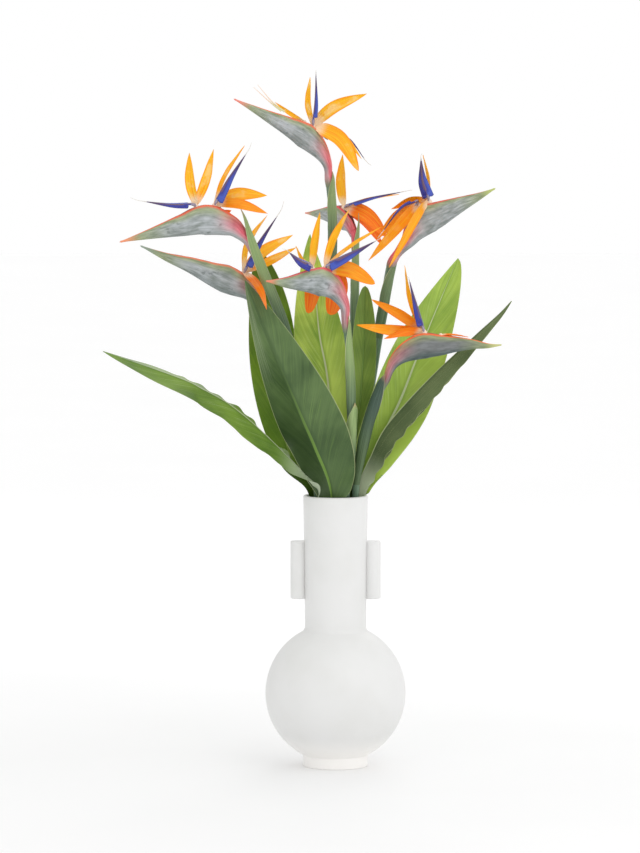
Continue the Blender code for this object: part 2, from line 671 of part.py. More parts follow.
def leaf_ring(path, distance, base, data):
    """Ten points round a leaf's section: a round stalk that opens into a folded blade."""
    centre = path.at(distance)
    direction = path.direction(distance, 4.0)
    face = Vector(data["face"])
    across = direction.cross(face).normalized()
    face = across.cross(direction).normalized()
    s = max(0.0, (distance - base) / (path.length - base))
    rib = PETIOLE_RADIUS * (1.0 - 0.8 * s)
    opened = smooth_step((distance - base) / data["round_to_blade"])
    height, waves = data["wave"]
    lift = height * math.sin(2.0 * math.pi * waves * s + 0.8) * opened * (1.0 - s)
    edge = []
    half = []
    halves = zip((-1, 1), data["half_widths"], data["belly"], data["blunt"], data["fold"])
    for sign, width, belly, blunt, fold in halves:
        angle = math.radians(fold)
        outward = across * (sign * math.cos(angle)) + face * math.sin(angle)
        reach = max(width * leaf_outline(s, belly, blunt), 0.7)
        edge.append(centre + outward * reach + face * (lift * sign))
        half.append(centre + outward * (0.5 * reach) - face * (0.04 * reach))
    t = face * (0.5 * BLADE_THICKNESS)
    blade = [edge[0] + t, half[0] + t, centre + face * rib * 0.6, half[1] + t, edge[1] + t,
             edge[1] - t, half[1] - t, centre - face * rib, half[0] - t, edge[0] - t]
    angles = [162, 126, 90, 54, 18, -18, -54, -90, -126, -162]
    tube = [centre + (across * math.cos(math.radians(a)) + face * math.sin(math.radians(a)))
            * PETIOLE_RADIUS for a in angles]
    return [a.lerp(b, opened) for a, b in zip(tube, blade)]


def build_leaf(number, data, material, collection):
    x, y = data["slot"]
    floor = inner_floor(math.hypot(x, y) + PETIOLE_RADIUS) + STANDING
    upright = [(x, y, height) for height in UPRIGHT]
    path = Path([(x, y, floor)] + upright + open_out(data["midrib"]))
    base = path.distance_at_height(325.0)
    stations = [0.0, 0.45 * base, 0.8 * base, base]
    stations += [base + (path.length - base) * k / LEAF_STATIONS
                 for k in range(1, LEAF_STATIONS + 1)]
    rings = [leaf_ring(path, distance, base, data) for distance in stations]
    return loft("leaf_%d" % number, rings, material, collection)


# ---- the whole ---------------------------------------------------------------------------


def main():
    for obj in list(bpy.data.objects):
        bpy.data.objects.remove(obj)
    collection = bpy.data.collections.new("bird_of_paradise_flower")
    bpy.context.scene.collection.children.link(collection)
    ceramic = make_material("white_ceramic", (0.86, 0.86, 0.84), 0.45)
    water = make_material("water", (0.75, 0.85, 0.9), 0.05)
    stalk_green = make_material("stalk_green", (0.14, 0.24, 0.16), 0.5)
    sepal_orange = make_material("sepal_orange", (0.95, 0.30, 0.01), 0.5)
    arrow_blue = make_material("arrow_blue", (0.05, 0.05, 0.30), 0.5)
    leaf_green = make_material("leaf_green", (0.08, 0.20, 0.03), 0.45)

    build_vase(ceramic, collection)
    holes = [(*head["slot"], head["girth"][0]) for head in HEADS]
    holes += [(*leaf["slot"], PETIOLE_RADIUS) for leaf in LEAVES]
    build_water(holes, water, collection)
    for number, data in enumerate(HEADS, 1):
        head = Head(number, data)
        build_stalk(head, stalk_green, collection)
        build_sepals(head, sepal_orange, collection)
        arrows = [floret for floret in data["florets"] if "arrow" in floret]
        for k, floret in enumerate(arrows, 1):
            build_arrow(head, k, floret, arrow_blue, collection)
    for number, data in enumerate(LEAVES, 1):
        build_leaf(number, data, leaf_green, collection)


main()
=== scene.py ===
import bpy
import bmesh
from math import asin, copysign, cos, degrees, exp, hypot, log, pi, radians, sin, sqrt, tau
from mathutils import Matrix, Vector, noise


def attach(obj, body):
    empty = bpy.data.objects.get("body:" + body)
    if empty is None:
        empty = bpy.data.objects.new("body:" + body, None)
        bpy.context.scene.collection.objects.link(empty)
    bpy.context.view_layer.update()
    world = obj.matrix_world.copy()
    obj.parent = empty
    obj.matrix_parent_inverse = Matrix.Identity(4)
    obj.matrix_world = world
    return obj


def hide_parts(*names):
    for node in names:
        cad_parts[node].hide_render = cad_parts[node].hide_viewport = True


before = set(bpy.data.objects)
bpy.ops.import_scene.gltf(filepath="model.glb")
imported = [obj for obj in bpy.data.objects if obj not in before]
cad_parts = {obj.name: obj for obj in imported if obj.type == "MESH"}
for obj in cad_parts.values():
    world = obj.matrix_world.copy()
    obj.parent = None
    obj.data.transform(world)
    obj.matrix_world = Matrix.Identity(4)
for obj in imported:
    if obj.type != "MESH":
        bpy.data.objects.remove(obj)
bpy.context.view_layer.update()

mm = 0.001
routeSteps = 16                         # steps between two points of a route
sharpestBend = 50.0                     # a margin that turns by more degrees is shaded crisp
print("frame loaded:", len(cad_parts), "nodes")


# ---- curves: every length below is in millimetres until a point is placed ----

def ease(t):
    t = min(max(t, 0.0), 1.0)
    return t * t * (3.0 - 2.0 * t)


def bell(t, middle, width):
    return exp(-((t - middle) / width) ** 2)


def splinePoint(p0, p1, p2, p3, t):
    bend = 2.0 * p0 - 5.0 * p1 + 4.0 * p2 - p3
    twist = 3.0 * p1 - p0 - 3.0 * p2 + p3
    return 0.5 * (2.0 * p1 + (p2 - p0) * t + bend * t * t + twist * t * t * t)


def makeRoute(points):
    # a smooth curve through the points, and how far along it each small step lies
    points = [Vector(p) for p in points]
    ends = [2.0 * points[0] - points[1]] + points + [2.0 * points[-1] - points[-2]]
    dense = [points[0]]
    for i in range(len(points) - 1):
        dense += [splinePoint(*ends[i:i + 4], k / routeSteps) for k in range(1, routeSteps + 1)]
    run = [0.0]
    for a, b in zip(dense, dense[1:]):
        run.append(run[-1] + (b - a).length)
    return {"points": dense, "run": run, "length": run[-1]}


def pointOn(route, distance):
    run = route["run"]
    distance = min(max(distance, 0.0), route["length"])
    i = 1
    while i < len(run) - 1 and run[i] < distance:
        i += 1
    share = (distance - run[i - 1]) / (run[i] - run[i - 1])
    return route["points"][i - 1].lerp(route["points"][i], share)


def directionOn(route, distance, reach=2.0):
    return (pointOn(route, distance + reach) - pointOn(route, distance - reach)).normalized()


def distanceAtHeight(route, height):
    for point, distance in zip(route["points"], route["run"]):
        if point.z >= height:
            return distance
    return route["length"]


def openOut(points):
    # the bunch opens front to back above the vase's rim
    rim = vaseSettings["rimHeight"]
    return [(x, y * (1.0 + 0.55 * ease((z - rim - 10.0) / 200.0)), z) for x, y, z in points]


def bowRoute(start, end, bow):
    # an arch that bows to its left, or that runs over a point
    start, end = Vector(start), Vector(end)
    if isinstance(bow, tuple):
        return makeRoute([start, openOut([bow])[0], end])
    chord = end - start
    left = Vector((-chord.z, 0.0, chord.x)).normalized()
    return makeRoute([start, start.lerp(end, 0.45) + left * bow, end])


def facing(direction, turn):
    # the side and face of a blade that looks to the front, turned by an angle
    across = direction.cross(Vector((0.0, -1.0, 0.0))).normalized()
    face = across.cross(direction).normalized()
    angle = radians(turn)
    return (across * cos(angle) + face * sin(angle),
            face * cos(angle) - across * sin(angle))


# ---- mesh: a flat grid is rolled into each tube and each closed blade ----

def roll(bm, around, along, rowAt, placeIn, slots, edgePower=1.0):
    # The grid's first half goes across the front and its second half back across the back.
    # placeIn gets the row, across (-1 to 1), along (0 to 1) and which face; the uv map keeps
    # across and along.
    uvLayer = bm.loops.layers.uv.get("UVMap") or bm.loops.layers.uv.new("UVMap")
    made = bmesh.ops.create_grid(bm, x_segments=2 * around, y_segments=along, size=0.5,
                                 calc_uvs=True)["verts"]
    rows = [rowAt(k / along) for k in range(along + 1)]
    faces = {face for vert in made for face in vert.link_faces}

    def acrossAt(x, front):
        raw = 4.0 * x - 1.0 if front else 3.0 - 4.0 * x
        raw = min(max(raw, -1.0), 1.0)
        return copysign(abs(raw) ** edgePower, raw)

    for face in faces:
        front = face.calc_center_median().x < 0.0
        face.material_index = slots[0] if front else slots[1]
        face.smooth = True
        for loop in face.loops:
            loop[uvLayer].uv = (0.5 + 0.5 * acrossAt(loop.vert.co.x + 0.5, front),
                                loop.vert.co.y + 0.5)
    for vert in made:
        x, v = vert.co.x + 0.5, vert.co.y + 0.5
        front = x < 0.5
        row = rows[round(v * along)]
        vert.co = placeIn(row, acrossAt(x, front), v, 1.0 if front else -1.0) * mm
    bmesh.ops.remove_doubles(bm, verts=made, dist=0.00001)
    made = [vert for vert in made if vert.is_valid]
    openEdges = [e for e in {e for vert in made for e in vert.link_edges} if e.is_boundary]
    if openEdges:
        ends = bmesh.ops.holes_fill(bm, edges=openEdges, sides=0)["faces"]
        for face in ends:
            face.material_index = slots[0]
            for loop in face.loops:
                loop[uvLayer].uv = (0.5, 0.0)
    return made


def newObject(name, data):
    made = bpy.data.objects.new(name, data)
    bpy.context.scene.collection.objects.link(made)
    return made


def finishPiece(name, bm, materials, slotName, *nodes):
    mesh = bpy.data.meshes.new(name)
    bm.to_mesh(mesh)
    bm.free()
    mesh.set_sharp_from_angle(angle=radians(sharpestBend))
    for material in materials:
        mesh.materials.append(material)
    piece = newObject(name, mesh)
    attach(piece, "root")
    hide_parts(*nodes)


# ---- materials: small helpers for the node trees ----

def paint(red, green, blue):
    # a colour as it is seen on a screen, 0 to 255
    return tuple(((c / 255.0 + 0.055) / 1.055) ** 2.4 if c > 10 else c / 3294.6
                 for c in (red, green, blue)) + (1.0,)


def dimmed(colour, share):
    return tuple(share * c for c in colour[:3]) + (1.0,)


def addNode(kind, inputs, tree=None, **properties):
    # the node goes where its inputs come from, unless its tree is given
    sockets = {k: v for k, v in inputs.items() if isinstance(v, bpy.types.NodeSocket)}
    tree = tree or next(iter(sockets.values())).id_data
    node = tree.nodes.new(kind)
    for key, value in properties.items():
        setattr(node, key, value)
    for key, value in inputs.items():
        if key in sockets:
            tree.links.new(value, node.inputs[key])
        else:
            node.inputs[key].default_value = value
    return node


def calc(operation, a, b=0.0):
    return addNode("ShaderNodeMath", {0: a, 1: b}, operation=operation).outputs[0]


def times(value, *others):
    for other in others:
        value = calc("MULTIPLY", value, other)
    return value


def remap(value, *ends, **properties):
    # ends are the range that it has, low and high, and the range that it gets
    inputs = {0: value, **{k: end for k, end in enumerate(ends, 1)}}
    return addNode("ShaderNodeMapRange", inputs, **properties).outputs[0]


def band(value, low, high):
    # 0 below low and 1 above high, or the other way round, with a soft edge
    return remap(value, low, high, 0.0, 1.0, interpolation_type="SMOOTHSTEP")


def ramp(value, *stops):
    # each stop is a place from 0 to 1, then its red, green and blue
    node = addNode("ShaderNodeValToRGB", {0: value})
    while len(node.color_ramp.elements) < len(stops):
        node.color_ramp.elements.new(0.5)
    for element, (place, *colour) in zip(node.color_ramp.elements, stops):
        element.position = place
        element.color = paint(*colour)
    return node.outputs[0]


def layered(colour, *layers):
    # each layer has a mask, a colour laid over the ones before, and at times how strong it is
    for mask, above, *strength in layers:
        if isinstance(above, tuple) and len(above) == 3:
            above = paint(*above)
        mix = addNode("ShaderNodeMix", {0: times(mask, *strength), 6: colour, 7: above},
                      data_type="RGBA", blend_type="MIX")
        colour = mix.outputs[2]
    return colour


def noiseAt(spot, scale, detail):
    return addNode("ShaderNodeTexNoise", {"Vector": spot, "Scale": scale, "Detail": detail}).outputs[0]


def streaks(x, y, repeats, shift, detail=3.0):
    # noise on the surface, stretched by how often it repeats in x and in y
    inputs = {0: times(x, repeats[0]), 1: times(y, repeats[1]), 2: shift}
    return noiseAt(addNode("ShaderNodeCombineXYZ", inputs).outputs[0], 1.0, detail)


def placeOf(material):
    return addNode("ShaderNodeTexCoord", {}, material.node_tree).outputs["Object"]


def clouds(material, scale, detail=3.0, stretch=(1.0, 1.0, 1.0), shift=0.0):
    # noise in the object's own space, so that it stays put on the piece
    mapped = addNode("ShaderNodeMapping", {"Vector": placeOf(material), "Scale": stretch,
                                           "Location": (shift, 0.3 * shift, 0.0)})
    return noiseAt(mapped.outputs[0], scale, detail)


def shaderOf(material):
    return material.node_tree.nodes["Principled BSDF"]


def startMaterial(name, roughness, coat=0.0):
    material = bpy.data.materials.new(name)
    material.use_nodes = True
    for key, value in (("Roughness", roughness), ("Specular IOR Level", 0.3), ("Coat Weight", coat),
                       ("Coat Roughness", 0.3)):
        shaderOf(material).inputs[key].default_value = value
    return material


def wire(material, colour, height, strength=0.3, depth=0.001, roughness=None):
    # joins the colour, the bumps and, where it varies, the roughness to the shader
    bump = addNode("ShaderNodeBump", {"Height": height, "Strength": strength, "Distance": depth})
    wires = {"Base Color": colour, "Normal": bump.outputs[0], "Roughness": roughness}
    for key, value in wires.items():
        if value is not None:
            material.node_tree.links.new(value, shaderOf(material).inputs[key])
    return material


def uvParts(material):
    # across from its middle (0) to either edge (1), along, and across from -1 to 1
    uv = addNode("ShaderNodeUVMap", {}, material.node_tree, uv_map="UVMap").outputs[0]
    parts = addNode("ShaderNodeSeparateXYZ", {0: uv}).outputs
    signed = calc("SUBTRACT", times(parts[0], 2.0), 1.0)
    return calc("ABSOLUTE", signed), parts[1], signed


def grainyMaterial(name, roughness, repeats, shift, stops, layerAt, strength=0.25):
    # streaks between two colours, and one more colour laid over where layerAt says
    material = startMaterial(name, roughness)
    across, along, signed = uvParts(material)
    fine = streaks(signed, along, repeats, shift)
    colour = layered(ramp(fine, *stops), layerAt(across, along))
    return wire(material, colour, fine, strength, 0.0005)


# ---- the vase ----

vaseSettings = {
    "rimHeight": 333.0, "rimRadius": 39.4, "neckRadius": 37.6, "bulbRadius": 85.8,
    "bulbCentre": 90.0, "footRadius": 39.5, "wall": 4.6, "sides": 144,
    "lugRadius": 10.0, "lugLow": 206.0, "lugHigh": 277.0, "lugOffset": 45.2,
    "lugSides": 48, "lugEdge": 1.5, "fillet": 5.0,
    "glaze": (230, 230, 229), "thinGlaze": (221, 220, 216), "roughness": 0.42,
}


def ceramicMaterial():
    s = vaseSettings
    material = startMaterial("whiteCeramic", s["roughness"], coat=0.15)
    height = addNode("ShaderNodeSeparateXYZ", {0: placeOf(material)}).outputs[2]
    mottle = clouds(material, 14.0, 5.0)
    pits = clouds(material, 900.0, 1.0)
    colour = layered(
        paint(*s["glaze"]), (band(mottle, 0.35, 0.75), (225, 225, 223)),
        (band(height, 0.3305, 0.3328), s["thinGlaze"], 0.5),    # the lip
        (band(height, 0.045, 0.012), (252, 250, 247)))          # the foot and low bulb, painted light: lighter as if lit from the pale floor below
    relief = calc("ADD", mottle, times(pits, 0.12))
    rough = calc("ADD", times(mottle, 0.16), s["roughness"] - 0.08)
    return wire(material, colour, relief, 0.16, 0.0015, rough)


def innerFloor(fromAxis):
    s = vaseSettings
    return s["bulbCentre"] - sqrt((s["bulbRadius"] - s["wall"]) ** 2 - fromAxis ** 2)


def buildVase():
    s = vaseSettings
    centre, rim = s["bulbCentre"], s["rimHeight"]

    def arc(middle, radius, start, end, steps):
        return [(middle[0] + radius * sin(radians(start + (end - start) * k / steps)),
                 middle[1] + radius * cos(radians(start + (end - start) * k / steps)))
                for k in range(steps + 1)]

    insideRadius = s["bulbRadius"] - s["wall"]
    insideTop = degrees(asin((s["neckRadius"] - s["wall"]) / insideRadius))
    outsideTop = degrees(asin(s["neckRadius"] / s["bulbRadius"]))
    outsideLow = 180.0 - degrees(asin(s["footRadius"] / s["bulbRadius"]))
    lipRadius = 0.5 * s["wall"] - 0.2
    profile = arc((0.0, centre), insideRadius, 180.0, insideTop, 40)
    profile += arc((s["rimRadius"] - lipRadius, rim - lipRadius), lipRadius, -90.0, 90.0, 10)
    neckFoot = centre + s["bulbRadius"] * cos(radians(outsideTop)) + s["fillet"]
    for k in range(1, 13):
        share = k / 12.0
        bulge = s["neckRadius"] + (s["rimRadius"] - s["neckRadius"]) * (1.0 - share) ** 1.4
        profile.append((bulge, rim - lipRadius + (neckFoot - rim + lipRadius) * share))
    bend = degrees(s["fillet"] / s["bulbRadius"])
    corner = Vector((s["neckRadius"], neckFoot - s["fillet"]))
    below = Vector(arc((0.0, centre), s["bulbRadius"], outsideTop + bend, outsideTop + bend, 1)[0])
    above = Vector((s["neckRadius"], neckFoot))
    for share in (0.25, 0.5, 0.75):
        profile.append(tuple(above.lerp(corner, share).lerp(corner.lerp(below, share), share)))
    profile += arc((0.0, centre), s["bulbRadius"], outsideTop + bend, outsideLow, 48)
    profile += arc((s["footRadius"] - 1.2, 1.2), 1.2, 90.0, 180.0, 5)
    profile.append((0.0, 0.0))
    bm = bmesh.new()
    last = None
    for radius, height in profile:
        vert = bm.verts.new((max(radius, 0.0) * mm, 0.0, height * mm))
        if last is not None:
            bm.edges.new((last, vert))
        last = vert
    bmesh.ops.spin(bm, geom=bm.verts[:] + bm.edges[:], axis=(0.0, 0.0, 1.0), cent=(0.0, 0.0, 0.0),
                   angle=tau, steps=s["sides"], use_merge=True)
    bmesh.ops.remove_doubles(bm, verts=bm.verts, dist=0.00001)
    bmesh.ops.recalc_face_normals(bm, faces=bm.faces)
    for side in (-1, 1):
        radius = s["lugRadius"] * mm
        lug = bmesh.ops.create_cone(
            bm, cap_ends=True, segments=s["lugSides"], radius1=radius, radius2=radius,
            depth=(s["lugHigh"] - s["lugLow"]) * mm)["verts"]
        place = Vector((side * s["lugOffset"], 0.0, 0.5 * (s["lugLow"] + s["lugHigh"]))) * mm
        bmesh.ops.translate(bm, verts=lug, vec=place)
        rims = [e for e in {e for v in lug for e in v.link_edges}
                if abs(e.verts[0].co.z - e.verts[1].co.z) < 0.0001]
        bmesh.ops.bevel(bm, geom=rims, offset=s["lugEdge"] * mm, offset_type="OFFSET", segments=4,
                        affect="EDGES", profile=0.5, material=-1)
    for face in bm.faces:
        face.smooth = True
    finishPiece("vaseBody", bm, [ceramicMaterial()], "white_ceramic", "vase")


def waterMaterial():
    material = startMaterial("stillWater", 0.03)
    haze = clouds(material, 30.0, 2.0)
    shaderOf(material).inputs["Transmission Weight"].default_value = 0.9
    shaderOf(material).inputs["IOR"].default_value = 1.33
    return wire(material, layered(paint(212, 228, 222), (haze, (228, 238, 236))), haze, 0.05)


buildVase()
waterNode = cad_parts["water"]
waterNode.data.materials.clear()
waterNode.data.materials.append(waterMaterial())
print("vase and water done")


# ---- the flower heads ----

flowerSettings = {
    "upright": (110.0, 190.0, 270.0),        # heights in the vase where a stalk stands straight
    "mouth": 0.38, "slimness": 0.56, "wall": 1.0, "leadIn": 0.045,
    "stemSides": 14, "stemRows": 90, "stemRidge": 0.02, "spatheAcross": 22, "spatheRows": 84,
    "sheathWrap": 196.0, "sheathAcross": 16, "sheathRows": 40,
    "sepalWidth": 16.0, "sepalThickness": 0.9, "sepalAcross": 7, "sepalRows": 30,
    "floretRadius": 2.9, "floretRoot": 0.2, "floretRise": 4.0,
    "arrowHalfWidth": 5.2, "arrowShaft": 1.3, "arrowOffset": 7.0, "arrowBarb": 8.5,
    "arrowAcross": 8, "arrowRows": 44, "threadRadius": 0.45,
}

# Slot is where the stalk stands in the neck; girth is its radius in the neck and under the
# spathe. A sheath wraps the stalk between two heights and has its extra radius, the direction
# of its free tip and its tone, green to dark. A sepal has its tip, its bow or a point that it
# runs over, its turn from the front, its tone and its breadth; the tone is painted light and
# shade, yellow where the sepal is lit to deep orange where it is shaded. An arrow has its tip,
# bow, turn and breadth. Shade is how strongly painted shade darkens the spathe, most of all
# along its underside. Colours are red, green and blue, from 0 to 255.
flowerHeads = [
    {"slot": (-1, 24), "girth": (4.5, 4.8), "depth": 27, "mouth": 0.40,
     "sheaths": [(610, 726, 0.6, (1.0, -0.5), 0.2)],
     "stalk": [(-2, 27, 399), (-3, 31, 570), (-4, 29, 674)],
     "spathe": [(-8, 27, 717), (-11, 26, 738), (-24, 23, 758), (-45, 19, 775), (-85, 8, 796),
         (-124, 2, 816)],
     "shade": 0.35, "throat": 0.9, "tip": (240, 140, 125), "margin": (238, 120, 85),
     "florets": [
      {"along": 0.36, "sepals": [((-31, 19, 842), 4, 30, 0.0, 0.62), ((38, 8, 822), 6, 5, 0.1, 1.05),
          ((28, 6, 728), 11, 8, 0.4, 1.3)],
       "arrow": ((-24, 8, 848), -1, 60, 0.95), "thread": (0.0, 3.0)},
      {"along": 0.28, "sepals": [((32, 26, 742), 10, 35, 0.3, 0.5)],
       "arrow": ((37, 33, 740), 12, 50, 0.4), "arrowSide": 1, "thread": (3.0, 9.0)},
      {"along": 0.42, "rise": 2.0, "sepals": [((-74, 5, 812), 1, 20, 0.2, 0.4)],
       "threads": [[(-66, 7, 801), (-80, 8, 812), (-100, 9, 830)], [(-62, 7, 800), (-77, 8, 812),
           (-95, 9, 833)]]}]},
    {"slot": (-18, -1), "girth": (4.8, 5.6), "depth": 33, "mouth": 0.40,
     "sheaths": [(500, 668, 0.6, (1.0, -0.35), 0.1)],
     "stalk": [(-26, -6, 389), (-43, -12, 475), (-62, -18, 541), (-82, -26, 593)],
     "spathe": [(-100, -32, 636), (-116, -34, 656), (-130, -36, 665), (-157, -38, 671),
         (-187, -41, 664), (-229, -46, 653), (-260, -50, 645)],
     "shade": 0.25, "throat": 1.0, "tip": (238, 150, 110), "margin": (236, 110, 80),
     "florets": [
      {"along": 0.42, "sepals": [((-176, -42, 752), 3, 25, 0.15, 0.9),
          ((-147, -34, 756), -3, 25, 0.15, 0.9)],
       "arrow": ((-231, -48, 694), 2, -35, 0.85), "thread": (-4.0, 16.0)},
      {"along": 0.33, "sepals": [((-110, -28, 760), 4, 55, 0.4, 0.6),
          ((-83, -30, 700), 7, 0, 0.35, 1.15), ((-82, -44, 679), 4, 40, 0.65, 1.05),
          ((-126, -28, 682), -10, 20, 0.9, 0.9)],
       "arrow": ((-107, -50, 752), 2, 55, 1.7), "thread": (4.0, 14.0)}]},
    {"slot": (-12, 13), "girth": (4.5, 5.0), "depth": 30, "mouth": 0.38,
     "sheaths": [(470, 560, 1.0, (0.8, 0.6), 0.4)],
     "stalk": [(-23, 8, 381), (-47, 2, 449), (-73, -3, 510)],
     "spathe": [(-90, -4, 553), (-103, -8, 580), (-125, -11, 594), (-147, -13, 603), (-176, -15, 615),
         (-205, -17, 625), (-237, -20, 639)],
     "shade": 0.4, "throat": 0.7, "tip": (150, 165, 150), "margin": (234, 130, 95),
     "florets": [
      {"along": 0.28, "sepals": [((-83, -8, 675), 8, 50, 0.2, 0.75), ((-52, 14, 650), 5, 25, 0.1, 1.1),
          ((-48, 6, 635), -2, 40, 0.3, 0.9), ((-83, -60, 565), 4, 50, 0.85, 1.0)],
       "arrow": ((-70, -20, 676), 3, 55, 1.5), "thread": (6.0, 18.0)}]},
    {"slot": (9, -17), "girth": (4.8, 3.4), "depth": 31, "mouth": 0.50,
     "sheaths": [(340, 448, 3.0, (0.6, -0.8), 0.0), (400, 556, 1.8, (1.0, -0.5), 0.05)],
     "stalk": [(17, -24, 384), (19, -28, 427), (17, -34, 493)],
     "spathe": [(12, -42, 545), (11, -44, 566), (5, -45, 579), (-3, -46, 589), (-14, -48, 596),
         (-30, -51, 598), (-60, -56, 597), (-84, -60, 599)],
     "shade": 0.35, "throat": 0.8, "tip": (238, 140, 110), "margin": (232, 95, 100),
     "florets": [
      {"along": 0.36, "sepals": [((16, -52, 684), 3, 40, 0.15, 0.9), ((55, -40, 663), 2, 60, 0.2, 0.55),
          ((47, -54, 595), 6, 0, 0.6, 1.35), ((-6, -22, 555), (0, -30, 590), 10, 1.0, 2.0)],
       "arrow": ((49, -62, 648), 0, 50, 1.7), "thread": (0.0, 8.0)},
      {"along": 0.46, "sepals": [((-19, -48, 681), 0, 40, 0.05, 0.9),
          ((-48, -44, 640), 3, 65, 0.35, 0.6), ((-33, -22, 557), (-28, -33, 592), 15, 1.0, 1.5)],
       "arrow": ((-57, -64, 635), 2, -45, 1.5), "thread": (4.0, 8.0)}]},
    {"slot": (11, 21), "girth": (4.2, 4.0), "depth": 26, "mouth": 0.38,
     "sheaths": [(500, 664, 0.8, (1.0, -0.3), 0.15)],
     "stalk": [(19, 27, 398), (23, 38, 520)],
     "spathe": [(24, 50, 635), (22, 54, 650), (15, 60, 662), (3, 72, 669), (-10, 88, 671),
         (-23, 104, 671), (-38, 122, 671)],
     "shade": 0.2, "throat": 1.0, "tip": (236, 150, 130), "margin": (226, 90, 95),
     "florets": [
      {"along": 0.32, "sepals": [((9, 64, 746), 2, 40, 0.05, 1.1), ((62, 44, 646), 7, 20, 0.85, 1.35),
          ((58, 58, 634), 6, 25, 0.9, 1.2), ((79, 68, 697), 2, 65, 0.2, 0.45)],
       "arrow": ((83, 50, 701), 2, 60, 0.8), "thread": (0.0, 12.0)}]},
    {"slot": (20, 13.5), "girth": (4.8, 5.4), "depth": 32, "mouth": 0.44,
     "sheaths": [(520, 622, 0.6, (1.0, -0.4), 0.55)],
     "stalk": [(22, 14, 335), (32, 20, 399), (44, 25, 470), (53, 28, 526), (66, 31, 601)],
     "spathe": [(70, 28, 617), (79, 28, 630), (89, 27, 642), (98, 26, 655), (112, 24, 668),
         (127, 22, 675), (148, 18, 685), (175, 14, 697), (195, 10, 707)],
     "shade": 0.2, "throat": 1.0, "tip": (190, 200, 120), "margin": (222, 105, 85),
     "florets": [
      {"along": 0.42, "rise": 6.0, "sepals": [((107, 26, 747), -4, 70, 0.2, 0.6),
          ((68, 24, 681), -5, 35, 0.5, 1.0), ((65, 0, 611), (97, 3, 673), 45, 0.45, 1.05)],
       "arrow": ((104, 14, 744), 3, 5, 1.45), "thread": (-3.0, 5.0)},
      {"along": 0.36, "rise": 6.0, "sepals": [((50, 20, 644), -6, 30, 0.6, 1.15),
          ((40, 8, 619), (83, 8, 670), 25, 0.5, 1.1)],
       "arrow": ((57, 5, 654), (80, 14, 682), 60, 0.6), "arrowLift": 6, "thread": (0.0, 10.0)}]},
    {"slot": (22.5, -14), "girth": (4.8, 4.2), "depth": 28, "mouth": 0.42,
     "sheaths": [(345, 486, 2.6, (-0.6, -0.8), 0.95)],
     "stalk": [(24, -15, 335), (30, -21, 380), (39, -26, 421), (50, -33, 455)],
     "spathe": [(61, -38, 478), (65, -39, 489), (71, -40, 500), (84, -41, 511), (104, -41, 519),
         (125, -41, 520), (144, -40, 521), (165, -39, 521), (184, -37, 519), (201, -35, 520)],
     "shade": 1.0, "throat": 0.45, "tip": (200, 200, 130), "margin": (244, 110, 60),
     "florets": [
      {"along": 0.38, "sepals": [((83, -38, 616), 4, 60, 0.35, 0.8),
          ((43, -34, 575), -3, 25, 0.65, 1.0), ((25, -44, 545), 2, 20, 0.55, 1.0),
          ((58, -52, 529), -5, 40, 0.85, 1.0)],
       "arrow": ((88, -50, 601), 0, -50, 1.3), "thread": (3.0, 4.0)},
      {"along": 0.5, "rise": 1.5, "sepals": [((160, -40, 530), 1, 80, 0.9, 0.5)]}]},
]


def insideVase(slot, radius):
    # the straight part of a stalk, from just above the vase's floor
    x, y = slot
    foot = innerFloor(hypot(x, y) + radius) + 3.0
    return [(x, y, height) for height in (foot, *flowerSettings["upright"])]


def spatheHalfDepth(depth, s):
    mouth = flowerSettings["mouth"]
    if s < mouth:
        share = 0.27 + 0.73 * ease(s / mouth)
    else:
        share = max(0.03, (max(1.0 - s, 0.0) / (1.0 - mouth)) ** 1.15)
    return 0.5 * depth * share


def spatheHalfWidth(depth, s):
    slimness = 1.0 - (1.0 - flowerSettings["slimness"]) * ease(s / 0.3)
    return spatheHalfDepth(depth, s) * slimness


def prepareHead(head):
    # adds the head's route, the distance of its joint and its side direction
    lower = insideVase(head["slot"], head["girth"][0])
    head["route"] = makeRoute(lower + openOut(head["stalk"] + head["spathe"]))
    head["joint"] = head["route"]["run"][routeSteps * (len(lower) + len(head["stalk"]))]
    start, tip = (Vector(p) for p in openOut([head["spathe"][0], head["spathe"][-1]]))
    beak = tip - start
    beak.z = 0.0
    head["side"] = beak.normalized().cross(Vector((0.0, 0.0, 1.0)))


def headFrame(head, distance):
    direction = directionOn(head["route"], distance)
    side = (head["side"] - direction * head["side"].dot(direction)).normalized()
    return pointOn(head["route"], distance), side.cross(direction), side


def alongSpathe(head, s):
    power = log(head["mouth"]) / log(flowerSettings["mouth"])
    return head["joint"] + max(s, 0.0) ** power * (head["route"]["length"] - head["joint"])


def crownOf(head, floret):
    s = floret["along"]
    centre, up = headFrame(head, alongSpathe(head, s))[:2]
    rise = floret.get("rise", flowerSettings["floretRise"])
    return centre + up * (spatheHalfDepth(head["depth"], s) + rise)


def stemRadius(head, distance):
    low, high = head["girth"]
    return low + (high - low) * ease(distance / head["joint"])


def stemMaterial(head, number):
    material = startMaterial("stem%d" % number, 0.5, 0.05)
    along, signed = uvParts(material)[1:]
    fine = streaks(signed, along, (22.0, 9.0), number)
    bloom = clouds(material, 60.0, 4.0, (1.0, 1.0, 0.25), number)
    colour = layered(
        ramp(fine, (0.3, 62, 88, 70), (0.52, 100, 128, 102), (0.72, 150, 168, 138)),
        (band(bloom, 0.5, 0.75), (156, 172, 158), 0.5),
        (band(along, 0.72, 0.4), (56, 80, 48), 0.65),
        (band(along, 0.955, 0.99), (140, 95, 95), head["throat"]))
    return wire(material, colour, fine, 0.25, 0.0006)


